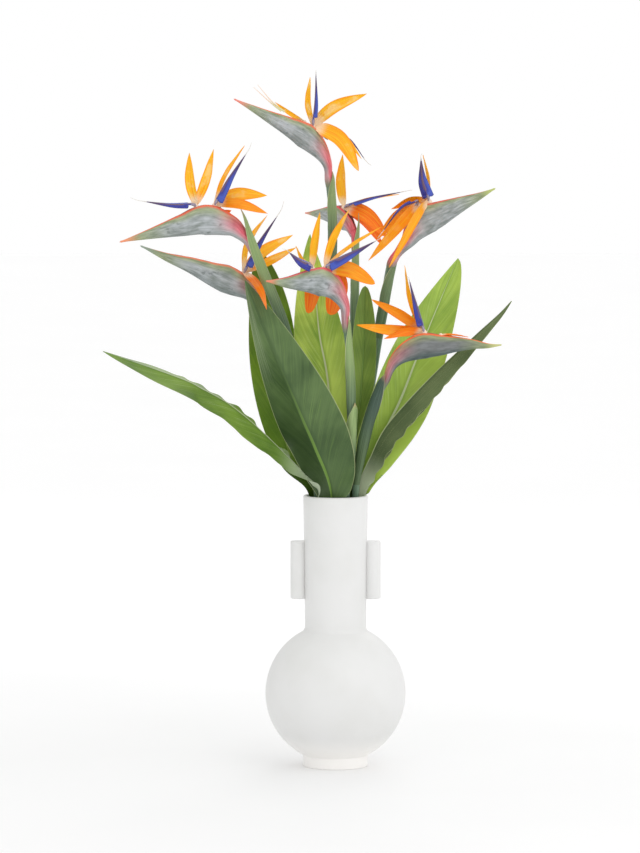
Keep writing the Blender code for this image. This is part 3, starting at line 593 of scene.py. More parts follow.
def sheathMaterial(number, tone):
    # a sheath begins in the stem's colours and grows paler to its margins and tip
    material = startMaterial("sheath%d" % number, 0.48)
    across, along, signed = uvParts(material)
    fine = streaks(signed, along, (26.0, 1.6), 3.0 * number)
    light = ramp(fine, (0.3, 116, 146, 88), (0.7, 172, 192, 132))
    dark = ramp(fine, (0.3, 36, 54, 48), (0.7, 76, 100, 90))
    stem = ramp(fine, (0.3, 58, 82, 60), (0.7, 120, 144, 112))
    colour = layered(
        light, (tone, dark),
        (band(along, 0.75, 0.2), layered(stem, (0.6 * tone, (70, 90, 44)))),
        (band(across, 0.9, 0.98), (206, 204, 164), 0.75),
        (band(along, 0.92, 1.0), (206, 168, 130), 0.6))
    return wire(material, colour, fine, 0.3, 0.0006)


def spatheMaterial(head, number):
    # silvery wax over grey green, painted shade over the body and underside, a yellow green band, a red
    # lip, a flushed throat and tip
    material = startMaterial("spathe%d" % number, 0.46, 0.08)
    across, along, signed = uvParts(material)
    grain = streaks(signed, along, (11.0, 11.0), 7.0 * number, 6.0)
    fine = streaks(signed, along, (40.0, 6.0), 7.0 * number + 2.0, 2.0)
    wax = clouds(material, 34.0, 5.0, shift=number)
    scar = clouds(material, 90.0, 4.0, (1.0, 1.0, 1.6), 3.0 * number)
    edge = calc("ADD", across, times(calc("SUBTRACT", wax, 0.5), 0.3))
    green = calc("MAXIMUM", times(band(edge, 0.55, 0.8), 0.75), times(band(along, 0.6, 0.92), 0.8))
    throat = times(band(along, 0.38, 0.14), band(edge, 0.22, 0.6))
    throat = calc("MAXIMUM", throat, times(band(along, 0.15, 0.04), 0.45))
    root = times(band(along, 0.07, 0.0), band(fine, 0.1, 0.5))
    lip = times(band(edge, 0.8, 0.9), band(along, 0.03, 0.2), band(fine, 0.15, 0.4))
    colour = layered(
        ramp(grain, (0.34, 134, 142, 138), (0.5, 160, 166, 166), (0.66, 186, 192, 194)),
        (band(wax, 0.48, 0.64), (206, 210, 216), 0.45),
        # painted shade: the whole spathe darkened, more for heads deep in shade
        (0.7 * head["shade"] ** 2, dimmed(paint(150, 150, 150), 0.3)),
        (band(fine, 0.52, 0.66), (104, 112, 108), 0.35),
        (band(scar, 0.62, 0.7), (84, 92, 90), 0.5),
        # painted shade along the underside and keel, as strong as the head's shade
        (band(edge, 0.42, 0.12), ramp(grain, (0.3, 52, 66, 64), (0.7, 92, 108, 106)), head["shade"]),
        (green, ramp(grain, (0.3, 120, 136, 88), (0.7, 168, 178, 120))),
        (throat, ramp(grain, (0.3, 200, 64, 86), (0.7, 246, 126, 138)), head["throat"]),
        (root, (112, 132, 102)), (lip, head["margin"]), (band(along, 0.84, 0.975), head["tip"]))
    height = calc("ADD", times(fine, 0.6), wax)
    rough = calc("ADD", times(wax, 0.25), 0.36)
    return wire(material, colour, height, 0.22, 0.0008, rough)


def buildSpathe(bm, head, number):
    s0 = flowerSettings
    depth, leadIn = head["depth"], s0["leadIn"]

    def rowAt(v):
        s = max(0.0, (v - leadIn) / (1.0 - leadIn))
        distance = alongSpathe(head, s)
        if v < leadIn:
            distance = head["joint"] - 9.0 * (1.0 - v / leadIn)
        stem = stemRadius(head, head["joint"]) * max(0.0, 1.0 - s / 0.3)
        grown = 0.12 + 0.48 * ease(v / leadIn)
        halfUp = max(spatheHalfDepth(depth, s), stem)
        halfSide = max(spatheHalfWidth(depth, s), stem)
        blend = ease(s / 0.2)
        gap = (0.7 + 3.6 * bell(s, s0["mouth"], 0.18)) * ease((s - 0.1) / 0.14)
        gap = min(gap, 0.62 * halfSide) * ease((1.0 - s) / 0.1)
        closing = ease((1.0 - s) / 0.01)
        return headFrame(head, distance) + ((halfUp + grown) * closing, (halfSide + grown) * closing,
                                            gap, blend, s)

    def placeIn(row, across, v, face):
        centre, up, side, halfUp, halfSide, gap, blend, s = row
        t = abs(across)
        crest = blend * ease((t - 0.64) / 0.36)             # the lips stand up together
        sideways = halfSide * sin(pi * t) ** (1.0 + 0.12 * blend) * (1.0 - 0.3 * crest)
        upward = -halfUp * cos(pi * t) + 0.09 * halfUp * crest
        sideways += gap * ease((t - 0.68) / 0.32)
        upward -= 0.07 * halfUp * blend * bell(t, 0.0, 0.09)      # the keel
        wave = noise.noise(Vector((9.0 * s, 4.0 * across, 3.1 * number)))
        upward += 0.05 * halfUp * blend * wave * t
        sideways *= 1.0 + 0.07 * blend * wave
        if face < 0.0:
            wall = s0["wall"] * min(1.0, 5.0 * (1.0 - t))
            sideways -= min(wall, 0.7 * sideways)
            upward -= copysign(min(wall, 0.7 * abs(upward)), upward) * (t < 0.8)
        return centre + up * upward + side * copysign(sideways, across)

    roll(bm, s0["spatheAcross"], s0["spatheRows"], rowAt, placeIn, (2, 3))


def rollTube(bm, sides, rows, ringAt, slot, ridges=0.0):
    # ringAt gives a ring's centre, front, side and radius
    def placeIn(ring, across, v, face):
        centre, front, side, radius = ring
        angle = 0.5 * pi * across
        ridge = 1.0 + ridges * sin(9.0 * angle * face)
        return centre + (front * (cos(angle) * face) + side * sin(angle)) * radius * ridge

    roll(bm, sides, rows, ringAt, placeIn, (slot, slot))


def buildStem(bm, head):
    s0 = flowerSettings
    end = alongSpathe(head, 0.14)

    def ringAt(v):
        distance = end * v
        radius = stemRadius(head, min(distance, head["joint"]))
        radius *= 1.0 - 0.35 * ease((distance - head["joint"] + 10.0) / 14.0)
        return headFrame(head, distance) + (radius,)

    rollTube(bm, s0["stemSides"], s0["stemRows"], ringAt, 0, s0["stemRidge"])


def buildSheath(bm, head, sheath, slot, number):
    # a leafy bract wrapped round the stalk, with a free pointed tip
    s0, route = flowerSettings, head["route"]
    lowHeight, highHeight, extra, towards = sheath[:4]
    low, high = distanceAtHeight(route, lowHeight), distanceAtHeight(route, highHeight)
    straight = min(high - 30.0, head["joint"] - 12.0)
    towards = Vector((*towards, 0.0))

    def rowAt(v):
        distance = low + (high - low) * v
        kept = min(distance, straight)
        direction = directionOn(route, kept)
        centre = pointOn(route, kept) + direction * (distance - kept)
        out = (towards - direction * towards.dot(direction)).normalized()
        wrap = radians(s0["sheathWrap"]) * (1.0 - v ** 2.4) + 0.02
        radius = stemRadius(head, min(distance, head["joint"])) + 0.2
        radius += extra * ease(v / 0.4) + 0.8 * ease((v - 0.7) / 0.3)
        radius -= 1.2 * ease((v - 0.9) / 0.1)
        return centre, out, direction.cross(out), wrap, radius

    def placeIn(row, across, v, face):
        centre, out, side, wrap, radius = row
        angle = across * wrap
        spiral = 0.5 * ease((angle - 2.2) / 0.9)            # one margin laps the other
        uneven = 0.35 * noise.noise(Vector((3.0 * across, 7.0 * v, number)))
        reach = radius + (spiral + uneven + 0.35) * ease(v / 0.2)
        reach -= (0.5 if face < 0.0 else 0.0) * (1.0 - across ** 6)
        return centre + (out * cos(angle) + side * sin(angle)) * reach

    roll(bm, s0["sheathAcross"], s0["sheathRows"], rowAt, placeIn, (slot, slot))


def buildStalkPiece(head, number):
    bm = bmesh.new()
    buildStem(bm, head)
    buildSpathe(bm, head, number)
    tones = [sheath[-1] for sheath in head["sheaths"]]
    materials = [stemMaterial(head, number), sheathMaterial(number, tones[0]),
                 spatheMaterial(head, number), spatheInside]
    materials += [sheathMaterial(10 + number, tone) for tone in tones[1:]]
    for k, sheath in enumerate(head["sheaths"]):         # a second sheath's material comes last
        buildSheath(bm, head, sheath, 4 if k else 1, number + k)
    finishPiece("flower%dStalk" % number, bm, materials, "stalk_green", "head_%d_stalk" % number)


# ---- sepals and florets ----

def sepalMaterial():
    material = startMaterial("orangeSepal", 0.42, 0.05)
    across, along, signed = uvParts(material)
    # tone is painted light and shade: near 0 a lit, yellow sepal, near 1 a shaded, deep orange one
    tone = addNode("ShaderNodeAttribute", {}, material.node_tree, attribute_name="tone").outputs["Fac"]
    fine = streaks(signed, along, (14.0, 2.0), times(tone, 9.0), 4.0)
    # painted light: pale patches where light shines through the lit sepals
    backlitPatches = times(band(clouds(material, 55.0), 0.5, 0.64), band(across, 0.8, 0.3),
                  band(tone, 0.7, 0.1))
    base = band(calc("SUBTRACT", along, times(fine, 0.16)), 0.16, 0.0)
    colour = layered(
        ramp(fine, (0.32, 255, 158, 0), (0.52, 255, 190, 10), (0.7, 255, 216, 60)),
        (band(tone, 0.15, 1.0),
         ramp(fine, (0.32, 250, 88, 0), (0.52, 255, 128, 0), (0.7, 255, 164, 36))),
        (band(across, 0.55, 1.0), (250, 120, 8), 0.4),
        (band(across, 0.12, 0.0), (250, 134, 10), 0.35),
        (backlitPatches, (255, 222, 150), 0.6), (base, (252, 224, 190), 0.85))
    return wire(material, colour, fine, 0.35, 0.0008)


def buildSepal(bm, litToShadedLayer, crown, sepal, seed):
    s0 = flowerSettings
    tip, bow, turn, tone, breadth = sepal
    route = bowRoute(crown, openOut([tip])[0], bow)

    def rowAt(v):
        distance = v * route["length"]
        swing = 9.0 * sin(2.0 * v + seed)
        across, face = facing(directionOn(route, distance), turn + swing * v)
        swell = max(0.0, sin(pi * min(1.0, 0.12 + 0.88 * v) ** 0.9))
        shape = swell ** (0.85 - 0.4 * ease((breadth - 1.15) / 0.3)) if v < 1.0 else 0.0
        halfWidth = min(0.5 * s0["sepalWidth"] * breadth * shape, 2.2 + 40.0 * v)
        return pointOn(route, distance), across, face, max(halfWidth, 0.12)

    def placeIn(row, a, v, front):
        centre, across, face, halfWidth = row
        ripple = 0.5 * noise.noise(Vector((6.0 * v, 2.0 * a, seed))) * ease(v / 0.3)
        lift = halfWidth * (0.34 * abs(a) ** 1.6 - 0.04) + ripple
        curl = 0.1 * halfWidth * ease((abs(a) - 0.7) / 0.3)
        thickness = s0["sepalThickness"] * (1.0 - 0.5 * v) * (0.25 + 0.75 * (1.0 - a * a))
        rib = 0.35 * bell(a, 0.0, 0.16) * (1.0 - v)
        offset = 0.5 * thickness * front * (1.0 - a ** 8) - (rib if front < 0.0 else 0.6 * rib)
        return centre + across * (a * halfWidth - copysign(curl, a)) + face * (lift + offset)

    made = roll(bm, s0["sepalAcross"], s0["sepalRows"], rowAt, placeIn, (0, 0))
    # each sepal's tone, painted light and shade, goes on its vertices
    for vert in made:
        vert[litToShadedLayer] = tone


def buildTube(bm, route, radiusAt, slot, sides=5, rows=16, drift=Vector()):
    # drift moves the far end on
    def ringAt(v):
        distance = v * route["length"]
        across, face = facing(directionOn(route, distance), 0.0)
        return pointOn(route, distance) + drift * v, face, across, radiusAt(v)

    rollTube(bm, sides, rows, ringAt, slot)


def buildFloretBase(bm, head, floret):
    s0 = flowerSettings
    halfway = 0.5 * (s0["floretRoot"] + floret["along"])
    inside = [pointOn(head["route"], alongSpathe(head, s)) for s in (s0["floretRoot"], halfway)]
    centre, up = headFrame(head, alongSpathe(head, floret["along"]))[:2]
    crown = crownOf(head, floret)
    buildTube(bm, makeRoute(inside + [centre - up, crown]),
              lambda v: s0["floretRadius"] * (0.9 + 0.35 * v) * ease((1.06 - v) / 0.14),
              1, 6, 18, (crown - centre).normalized() * 2.0)


def buildSepalPiece(head, number):
    bm = bmesh.new()
    litToShadedLayer = bm.verts.layers.float.new("tone")
    for k, floret in enumerate(head["florets"]):
        buildFloretBase(bm, head, floret)
        for j, sepal in enumerate(floret["sepals"]):
            buildSepal(bm, litToShadedLayer, crownOf(head, floret), sepal, 1.7 * number + k + 2.3 * j)
        for points in floret.get("threads", []):
            buildTube(bm, makeRoute(openOut(points)), lambda v: 1.1 * (1.0 - 0.75 * v), 1)
    finishPiece("flower%dSepals" % number, bm, [orangeSepal, paleFloret], "sepal_orange",
                "head_%d_sepals" % number)


# ---- blue arrows ----

def arrowMaterial():
    material = startMaterial("blueArrow", 0.42, 0.1)
    across, along, signed = uvParts(material)
    fine = streaks(signed, along, (16.0, 3.0), 5.0)
    # painted sheen: one facet painted lighter blue towards the base, as if lit
    facetSheen = times(band(signed, 0.15, 0.75), band(along, 0.75, 0.4))
    colour = layered(
        ramp(fine, (0.3, 38, 38, 116), (0.55, 56, 60, 154), (0.75, 74, 98, 202)),
        (band(along, 0.42, 0.8), (84, 62, 92), 0.85), (facetSheen, (84, 112, 214), 0.5),
        (band(across, 0.34, 0.14), (116, 88, 100), 0.85),
        (band(across, 0.86, 0.97), (34, 28, 66), 0.5))
    return wire(material, colour, fine, 0.3, 0.0006)


def threadMaterial():
    material = startMaterial("paleThread", 0.5)
    speckle = clouds(material, 700.0, 2.0)
    colour = ramp(speckle, (0.35, 206, 200, 190), (0.65, 240, 236, 226))
    return wire(material, colour, speckle, 0.3, 0.0003)


def buildArrowPiece(head, number, order, floret):
    s0 = flowerSettings
    bm = bmesh.new()
    tip, bow, turn, breadth = floret["arrow"]
    tip = Vector(openOut([tip])[0])
    crown = crownOf(head, floret)
    start = crown.copy()
    start.y += floret.get("arrowSide", -1) * s0["arrowOffset"]
    start.z += floret.get("arrowLift", 1)
    start += (tip - start).normalized() * 2.0
    route = bowRoute(start, tip, bow)

    def rowAt(v):
        # a bare shaft, then two barbed lobes that taper to a slim ridge
        grown = ease((v - 0.2) / 0.05)
        lobe = s0["arrowHalfWidth"] * breadth * max(0.0, 1.0 - (v - 0.2) / 0.8) ** 1.15 + 0.4
        return v * route["length"], s0["arrowShaft"] + (lobe - s0["arrowShaft"]) * grown

    def placeIn(row, a, v, front):
        distance, halfWidth = row
        barb = s0["arrowBarb"] * breadth * bell(v, 0.24, 0.07) * abs(a) ** 1.6
        across, face = facing(directionOn(route, distance), turn)
        thickness = (1.5 - 0.9 * v) * (0.3 + 0.7 * (1.0 - a * a))
        fold = 0.5 * ease((v - 0.18) / 0.08)
        ridge = 0.9 * (1.0 - v) * bell(a, 0.0, 0.2)
        return (pointOn(route, distance - barb) + across * (a * halfWidth)
                - face * (fold * abs(a) * halfWidth)
                + face * (0.5 * thickness * front * (1.0 - a ** 8) + (ridge if front > 0.0 else 0.0)))

    roll(bm, s0["arrowAcross"], s0["arrowRows"], rowAt, placeIn, (0, 0))
    stand = makeRoute([crown - Vector((0.0, 0.0, 3.0)), crown.lerp(start, 0.5) + Vector((0, 0, -0.6)),
                       start, pointOn(route, 4.0)])
    buildTube(bm, stand, lambda v: 1.3 - 0.1 * v, 2)
    bend, reach = floret["thread"]                       # the pale style beyond the arrow's tip
    ahead = directionOn(route, route["length"])
    left = Vector((-ahead.z, 0.0, ahead.x))
    far = tip + ahead * reach
    thread = makeRoute([tip - ahead * 4.0, tip + ahead * 2.0, tip.lerp(far, 0.5) + left * (0.1 * bend),
                        far + left * (0.6 * bend)])
    buildTube(bm, thread, lambda v: s0["threadRadius"] * (1.0 - 0.5 * v), 1, 4, 14)
    hood = makeRoute([crown, crown + (start - crown) * 0.6 + ahead * 4.0,
                      crown + (start - crown) * 0.9 + ahead * 9.0])
    buildTube(bm, hood, lambda v: 1.9 * sin(pi * (0.25 + 0.74 * v)) ** 0.8, 2, 6, 12)
    finishPiece("flower%dArrow%d" % (number, order), bm, [blueArrow, paleThread, violetShaft],
                "arrow_blue", "head_%d_arrow_%d" % (number, order))


spatheInside = grainyMaterial(
    "spatheInside", 0.5, (30.0, 6.0), 0.0, [(0.3, 196, 110, 104), (0.7, 226, 168, 140)],
    lambda across, along: (band(across, 0.75, 0.2), (208, 206, 150)), 0.2)
paleFloret = grainyMaterial(
    "paleFloret", 0.45, (8.0, 4.0), 1.0, [(0.3, 240, 204, 178), (0.7, 250, 232, 214)],
    lambda across, along: (band(along, 0.55, 0.15), (220, 214, 160)))
violetShaft = grainyMaterial(
    "violetShaft", 0.45, (12.0, 3.0), 9.0, [(0.3, 118, 108, 136), (0.7, 196, 186, 200)],
    lambda across, along: (band(along, 0.4, 0.0), (238, 220, 206)))
orangeSepal, blueArrow, paleThread = sepalMaterial(), arrowMaterial(), threadMaterial()
for number, head in enumerate(flowerHeads, 1):
    prepareHead(head)
    buildStalkPiece(head, number)
    buildSepalPiece(head, number)
    withArrow = [floret for floret in head["florets"] if "arrow" in floret]
    for order, floret in enumerate(withArrow, 1):
        buildArrowPiece(head, number, order, floret)
    print("flower", number, "done")


# ---- leaves ----

leafSettings = {
    "petiole": 2.8, "thickness": 0.7, "across": 20, "rows": 130, "power": 1.5,
    "opensHeight": 296.0, "baseHeight": 325.0,   # where the stalk opens, and the blade begins
    "stalkShare": 0.1,                       # rows given to the part low inside the vase
    "usual": {"opening": 40, "lean": 0.2, "silver": 0.0, "veins": 0.38},
}

# Each pair is the halves left and right of the rib as seen from the face. Widths are at the
# belly, which is where the blade is widest, and base is the width at the rim. Blunt is how full
# the tip is, the smaller the fuller. Fold is how far each half is raised, and curl how much
# more at the foot. Wave has the height of each half's waves and how many, ruffle the height of
# its margin's. Light and dark are the upper face's colours, and back is the under face's light.
# Shade above 0 darkens one half with painted shade, and below 0 paints the other half lighter,
# as light shining through the blade. Foot is the colour low on the blade up to footEnd: the pale
# feet are the base's own colour, and the dark feet are painted shade deep in the bunch.
leaves = [
    {"slot": (-17, -15), "widths": (38, 32), "belly": (0.5, 0.5), "blunt": (0.8, 0.8),
     "base": (10, 10), "face": (0.1, -0.5, 0.85), "fold": (-4, -24), "curl": 25,
     "wave": (1.6, 3.0, 5), "ruffle": (0.4, 3.0),
     "midrib": [(-19, -19, 335), (-40, -42, 365), (-60, -52, 387), (-82, -60, 410), (-106, -66, 433),
         (-132, -71, 454), (-161, -77, 471), (-186, -82, 484), (-277, -95, 518)],
     "light": (118, 150, 55), "dark": (74, 108, 35), "rib": (206, 214, 176), "back": (120, 156, 62),
     "foot": (178, 190, 164), "footEnd": 0.42, "shade": 0.0, "ribEnd": 1.2},
    {"slot": (-4, -22), "widths": (34, 46), "belly": (0.36, 0.31), "blunt": (0.85, 0.85),
     "base": (14, 21), "face": (0.0, -1.0, 0.1), "fold": (-28, 6), "curl": 34,
     "wave": (1.4, 1.6, 4), "opening": 34, "ruffle": (0.9, 0.3),
     "midrib": [(-6, -26, 340), (-24, -38, 391), (-39, -46, 427), (-54, -50, 464), (-71, -48, 504),
         (-89, -40, 547), (-110, -26, 598)],
     "light": (98, 124, 72), "dark": (54, 80, 38), "rib": (120, 156, 66), "back": (120, 150, 104),
     "foot": (72, 98, 44), "footEnd": 0.22, "shade": 0.6, "ribEnd": 0.5, "silver": 0.5},
    {"slot": (-26, 12), "widths": (24, 38), "belly": (0.45, 0.6), "blunt": (0.62, 0.62),
     "base": (7, 7), "face": (0.1, -1.0, 0.1), "fold": (10, -10), "curl": 30,
     "wave": (1.4, 1.8, 4), "ruffle": (0.6, 0.6),
     "midrib": [(-28, 13, 337), (-53, 20, 374), (-70, 25, 429), (-83, 28, 497), (-90, 28, 570),
         (-96, 26, 631)],
     "light": (126, 160, 40), "dark": (78, 114, 20), "rib": (150, 176, 84), "back": (110, 146, 62),
     "foot": (58, 88, 14), "footEnd": 0.42, "shade": 0.15, "ribEnd": 0.9},
    {"slot": (1, 10), "widths": (33, 32), "belly": (0.5, 0.5), "blunt": (0.8, 1.15),
     "base": (15, 15), "face": (0.0, -1.0, 0.0), "fold": (5, 0), "curl": 24,
     "wave": (1.4, 1.6, 4), "ruffle": (0.4, 0.4),
     "midrib": [(-2, 13, 363), (-9, 17, 467), (-19, 18, 524), (-23, 18, 561), (-31, 16, 651)],
     "light": (214, 238, 104), "dark": (108, 150, 38), "rib": (206, 212, 170), "back": (140, 172, 80),
     "foot": (78, 108, 34), "footEnd": 0.39, "shade": -0.9, "ribEnd": 1.0},
    {"slot": (12, 4), "widths": (17, 17), "belly": (0.62, 0.62), "blunt": (0.5, 0.5),
     "base": (9, 9), "face": (0.0, -1.0, 0.0), "fold": (26, 26), "curl": 20,
     "wave": (0.8, 0.8, 3), "ruffle": (0.2, 0.2),
     "midrib": [(19, 6, 360), (25, 8, 400), (31, 9, 455), (35, 10, 522), (36, 11, 588)],
     "light": (142, 170, 72), "dark": (92, 122, 46), "rib": (134, 166, 92), "back": (110, 146, 80),
     "foot": (60, 84, 34), "footEnd": 0.36, "shade": 0.2, "ribEnd": 0.8},
    {"slot": (27, 5), "widths": (38, 38), "belly": (0.45, 0.42), "blunt": (0.95, 0.58),
     "base": (7, 14), "face": (-0.1, -1.0, 0.1), "fold": (28, 8), "curl": 24,
     "wave": (1.8, 2.2, 4), "opening": 34, "ruffle": (0.5, 0.8),
     "midrib": [(28, 4, 336), (48, 5, 387), (67, 7, 424), (81, 9, 453), (99, 12, 499), (116, 16, 541),
         (150, 24, 621)],
     "light": (178, 208, 86), "dark": (114, 152, 50), "rib": (208, 220, 176), "back": (130, 166, 76),
     "foot": (176, 200, 104), "footEnd": 0.14, "shade": -0.9, "ribEnd": 1.1},
    {"slot": (27, -6), "widths": (21, 22), "belly": (0.42, 0.42), "blunt": (0.9, 0.9),
     "base": (8, 8), "face": (0.7, 0.0, -0.7), "fold": (68, 68), "curl": 0,
     "wave": (1.2, 1.2, 5), "ruffle": (1.8, 1.2),
     "midrib": [(29, -6, 338), (46, -12, 383), (61, -13, 414), (87, -14, 446), (117, -14, 478),
         (146, -13, 506), (176, -12, 534), (199, -12, 555), (214, -12, 571)],
     "light": (130, 146, 82), "dark": (52, 72, 34), "rib": (176, 188, 136), "back": (108, 124, 78),
     "foot": (182, 194, 160), "footEnd": 0.36, "shade": 0.2, "ribEnd": 0.9, "lean": 1.1, "veins": 0.85},
]


def leafMaterial(number, leaf, face):
    # the two faces differ in colour, gloss, pattern and in which way the rib stands
    upper = face == "Upper"
    seed = 5.0 * number + (0.0 if upper else 2.0)
    material = startMaterial("leaf%d%s" % (number, face), 0.42 if upper else 0.56,
                             0.12 if upper else 0.0)
    across, along, signed = uvParts(material)
    slant = times(calc("POWER", across, 0.8), leaf["lean"])
    vein = calc("SUBTRACT", along, slant)                         # side veins lean to the tip
    fine = streaks(vein, signed, (300.0, 1.3), seed, 2.0)
    broad = streaks(vein, signed, (38.0, 1.0), seed + 4.0)
    lines = streaks(signed, along, (26.0, 1.4), seed)
    tone = calc("ADD", times(broad, 0.2), times(clouds(material, 14.0, shift=seed), 0.68))
    tone = calc("ADD", times(fine, 0.22), tone)
    light = leaf["light" if upper else "back"]
    dark, rib = leaf["dark"], leaf["rib"]
    # painted shade and light: one half is darker in painted shade, or where the shade is below 0 the
    # other half is painted lighter, as light shining through the blade
    shaded = leaf["shade"] > 0.0
    half = 0.1 if shaded else -0.1
    side = times(band(signed, half, -half), band(along, 0.85, 0.3))
    paintedHalfColour = dimmed(paint(*dark), 0.55) if shaded else light
    silver = times(band(signed, -0.3, -0.7), band(along, 0.58, 0.8), band(lines, 0.45, 0.6))
    ribMask = band(calc("SUBTRACT", remap(along, 0.0, 1.0, 0.075, 0.02), across), 0.0, 0.018)
    ribShown = times(ribMask, band(along, leaf["ribEnd"] + 0.25, leaf["ribEnd"] - 0.25))
    colour = layered(
        paint(*dark), (band(tone, 0.36, 0.72), light),
        # painted shade: the layer dark below along 0.55 darkens the blade low down, deep in the bunch
        (band(fine, 0.58, 0.74), rib, leaf["veins"]), (band(along, 0.55, 0.15), dark, 0.4),
        (side, paintedHalfColour, abs(leaf["shade"])), (silver, (168, 180, 146), leaf["silver"]),
        (band(across, 0.16, 0.05), dark, 0.45), (ribShown, rib, 0.85),
        (band(across, 0.975, 0.992), (198, 206, 150), 0.6),
        # the foot's colour: pale feet are the base's own colour, dark feet are painted shade deep in
        # the bunch
        (band(along, leaf["footEnd"], 0.6 * leaf["footEnd"]), leaf["foot"], 0.85))
    height = calc("ADD", times(fine, 0.6), times(broad, 0.6))
    height = calc("SUBTRACT", height, times(ribMask, 0.5 if upper else -0.5))
    return wire(material, colour, height, 0.3, 0.0012)


def leafOutline(s, belly, blunt):
    power = log(0.5) / log(belly)
    return max(0.0, sin(pi * min(1.0, s) ** power)) ** (blunt if s > belly else 1.05)


def squeezedIn(point):
    # how far a blade is pushed in where it passes the vase's mouth
    s = vaseSettings
    free = s["neckRadius"] - s["wall"] - 1.6 + 1.6 * max(0.0, point.z - s["rimHeight"] + 3.0)
    wide = hypot(point.x, point.y)
    return Vector((point.x, point.y, 0.0)) * (min(1.0, free / max(wide, 0.001)) - 1.0)


def buildLeaf(number, leaf):
    s0 = leafSettings
    route = makeRoute(insideVase(leaf["slot"], s0["petiole"]) + openOut(leaf["midrib"]))
    base = distanceAtHeight(route, s0["baseHeight"])
    opens = distanceAtHeight(route, s0["opensHeight"])
    stalkShare = s0["stalkShare"]

    def rowAt(v):
        if v < stalkShare:
            distance = opens * v / stalkShare
        else:
            distance = opens + (route["length"] - opens) * (v - stalkShare) / (1.0 - stalkShare)
        direction = directionOn(route, distance, 4.0)
        face = Vector(leaf["face"])
        across = direction.cross(face).normalized()
        face = across.cross(direction).normalized()
        s = max(0.0, (distance - base) / (route["length"] - base))
        opened = ease((distance - opens) / leaf["opening"])
        reaches = []
        for width, belly, blunt, base0 in zip(leaf["widths"], leaf["belly"], leaf["blunt"],
                                              leaf["base"]):
            wide = width * leafOutline(s, belly, blunt)
            narrow = base0 * (1.0 - ease(s / 0.35))
            reaches.append(hypot(wide, narrow) + 0.7 * (1.0 - s) + 0.05)
        return pointOn(route, distance), across, face, s, opened, reaches

    def placeIn(row, a, v, front):
        centre, across, face, s, opened, reaches = row
        rib = s0["petiole"] * (1.0 - 0.8 * s)
        side = 0 if a < 0.0 else 1
        sign = -1.0 if a < 0.0 else 1.0
        t = abs(a)
        angle = radians(leaf["fold"][side] + leaf["curl"] * (1.0 - ease(s / 0.22)))
        outward = across * (sign * cos(angle)) + face * sin(angle)
        reach = reaches[side]
        settled = (1.0 - s) * ease(s / 0.08)
        lift = leaf["wave"][side] * sin(tau * leaf["wave"][2] * s + 0.8) * settled
        ruffle = leaf["ruffle"][side] * sin(tau * 2.6 * leaf["wave"][2] * s + 2.0 * side)
        ruffle *= settled * t ** 4 * ease((0.85 - s) / 0.3)
        slack = 1.4 * noise.noise(Vector((5.0 * s, 1.5 * a, 2.7 * number))) * t * settled
        camber = -0.16 * reach * t * (1.0 - t)
        raised = lift * sign * t * t + ruffle + slack + camber
        middle = centre + outward * (reach * t) + face * raised
        middle += squeezedIn(middle)
        half = 0.5 * s0["thickness"] * (0.35 + 0.65 * (1.0 - t)) * (1.0 - t ** 12)
        swell = rib * bell(reach * t, 0.0, 0.9 * rib + 0.2)
        if front > 0.0:
            groove = 0.5 * rib * bell(reach * t, 0.0, 0.5 * rib + 0.1)
            blade = middle + face * (half + 0.35 * swell - groove)
        else:
            blade = middle - face * (half + swell)
        turn = 0.5 * pi * a
        tube = centre + (across * sin(turn) + face * (cos(turn) * front)) * s0["petiole"]
        return tube.lerp(blade, opened)

    bm = bmesh.new()
    roll(bm, s0["across"], s0["rows"], rowAt, placeIn, (0, 1), s0["power"])
    faces = [leafMaterial(number, leaf, face) for face in ("Upper", "Under")]
    finishPiece("leaf%d" % number, bm, faces, "leaf_green", "leaf_%d" % number)


for number, leaf in enumerate(leaves, 1):
    buildLeaf(number, {**leafSettings["usual"], **leaf})
print("leaves done")


# ---- floor, lights and camera ----

studioSettings = {
    "floorSize": 30.0, "background": (1.0, 1.0, 1.0), "brightSide": (0.5, -0.6, 0.62),
    "dimmest": 0.62, "brightest": 1.12, "paleness": 1.0, "glowFrom": (0.4, 2.6),
    "floorGlow": (0.0, 0.09), "lightsAim": (0.0, 0.0, 0.42),
    "cameraAt": (-0.019, -6.0, 0.88), "lookAt": (-0.019, 0.0, 0.417), "heightInView": 1.0407,
    "lights": [("keyLight", (1.2, -2.6, 2.1), 1.6, 8.0), ("backLight", (0.5, 2.2, 1.9), 1.6, 8.0)],
}


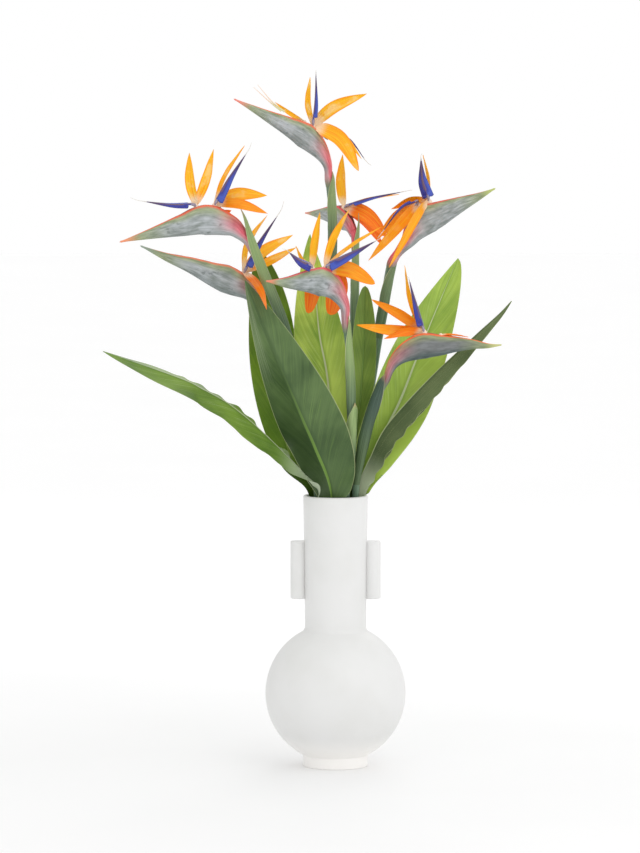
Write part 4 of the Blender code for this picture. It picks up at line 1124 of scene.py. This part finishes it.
def buildFloor():
    s = studioSettings
    bm = bmesh.new()
    bmesh.ops.create_grid(bm, x_segments=8, y_segments=8, size=0.5 * s["floorSize"])
    mesh = bpy.data.meshes.new("floor")
    bm.to_mesh(mesh)
    bm.free()
    material = startMaterial("paleFloor", 0.7)
    grain = clouds(material, 3.0, 2.0)
    wire(material, layered(paint(250, 250, 250), (grain, (246, 246, 246))), grain, 0.02)
    away = addNode("ShaderNodeVectorMath", {0: placeOf(material)}, operation="LENGTH")
    glow = remap(away.outputs["Value"], *s["glowFrom"], *s["floorGlow"])
    shaderOf(material).inputs["Emission Color"].default_value = (1.0, 1.0, 1.0, 1.0)
    material.node_tree.links.new(glow, shaderOf(material).inputs["Emission Strength"])
    mesh.materials.append(material)
    floor = newObject("floor", mesh)


def buildLights():
    s = studioSettings
    for name, place, size, power in s["lights"]:
        light = bpy.data.lights.new(name, "AREA")
        light.size = size
        light.energy = power
        lamp = newObject(name, light)
        lamp.location = place
        aim = Vector(s["lightsAim"]) - Vector(place)
        lamp.rotation_euler = aim.to_track_quat("-Z", "Y").to_euler()
    world = bpy.data.worlds.new("studio")
    world.use_nodes = True
    tree = world.node_tree
    back = tree.nodes["Background"]
    back.inputs[0].default_value = (*s["background"], 1.0)
    # the walls give more light from the front right and above, and look evenly pale
    towards = addNode("ShaderNodeTexCoord", {}, tree).outputs["Generated"]
    aimed = addNode("ShaderNodeVectorMath", {0: towards, 1: Vector(s["brightSide"]).normalized()},
                    operation="DOT_PRODUCT")
    glow = remap(aimed.outputs["Value"], -1.0, 1.0, s["dimmest"], s["brightest"])
    seen = addNode("ShaderNodeLightPath", {}, tree).outputs["Is Camera Ray"]
    tree.links.new(remap(seen, 0.0, 1.0, glow, s["paleness"]), back.inputs[1])
    bpy.context.scene.world = world


def buildCamera():
    s = studioSettings
    lens = bpy.data.cameras.new("camera")
    camera = newObject("camera", lens)
    gaze = Vector(s["lookAt"]) - Vector(s["cameraAt"])
    lens.sensor_width = 36.0
    lens.lens = lens.sensor_width * gaze.length / s["heightInView"]
    camera.location = s["cameraAt"]
    camera.rotation_euler = gaze.to_track_quat("-Z", "Y").to_euler()
    bpy.context.scene.camera = camera
    bpy.context.scene.view_settings.view_transform = "Standard"


buildFloor()
buildLights()
buildCamera()
print("studio done")
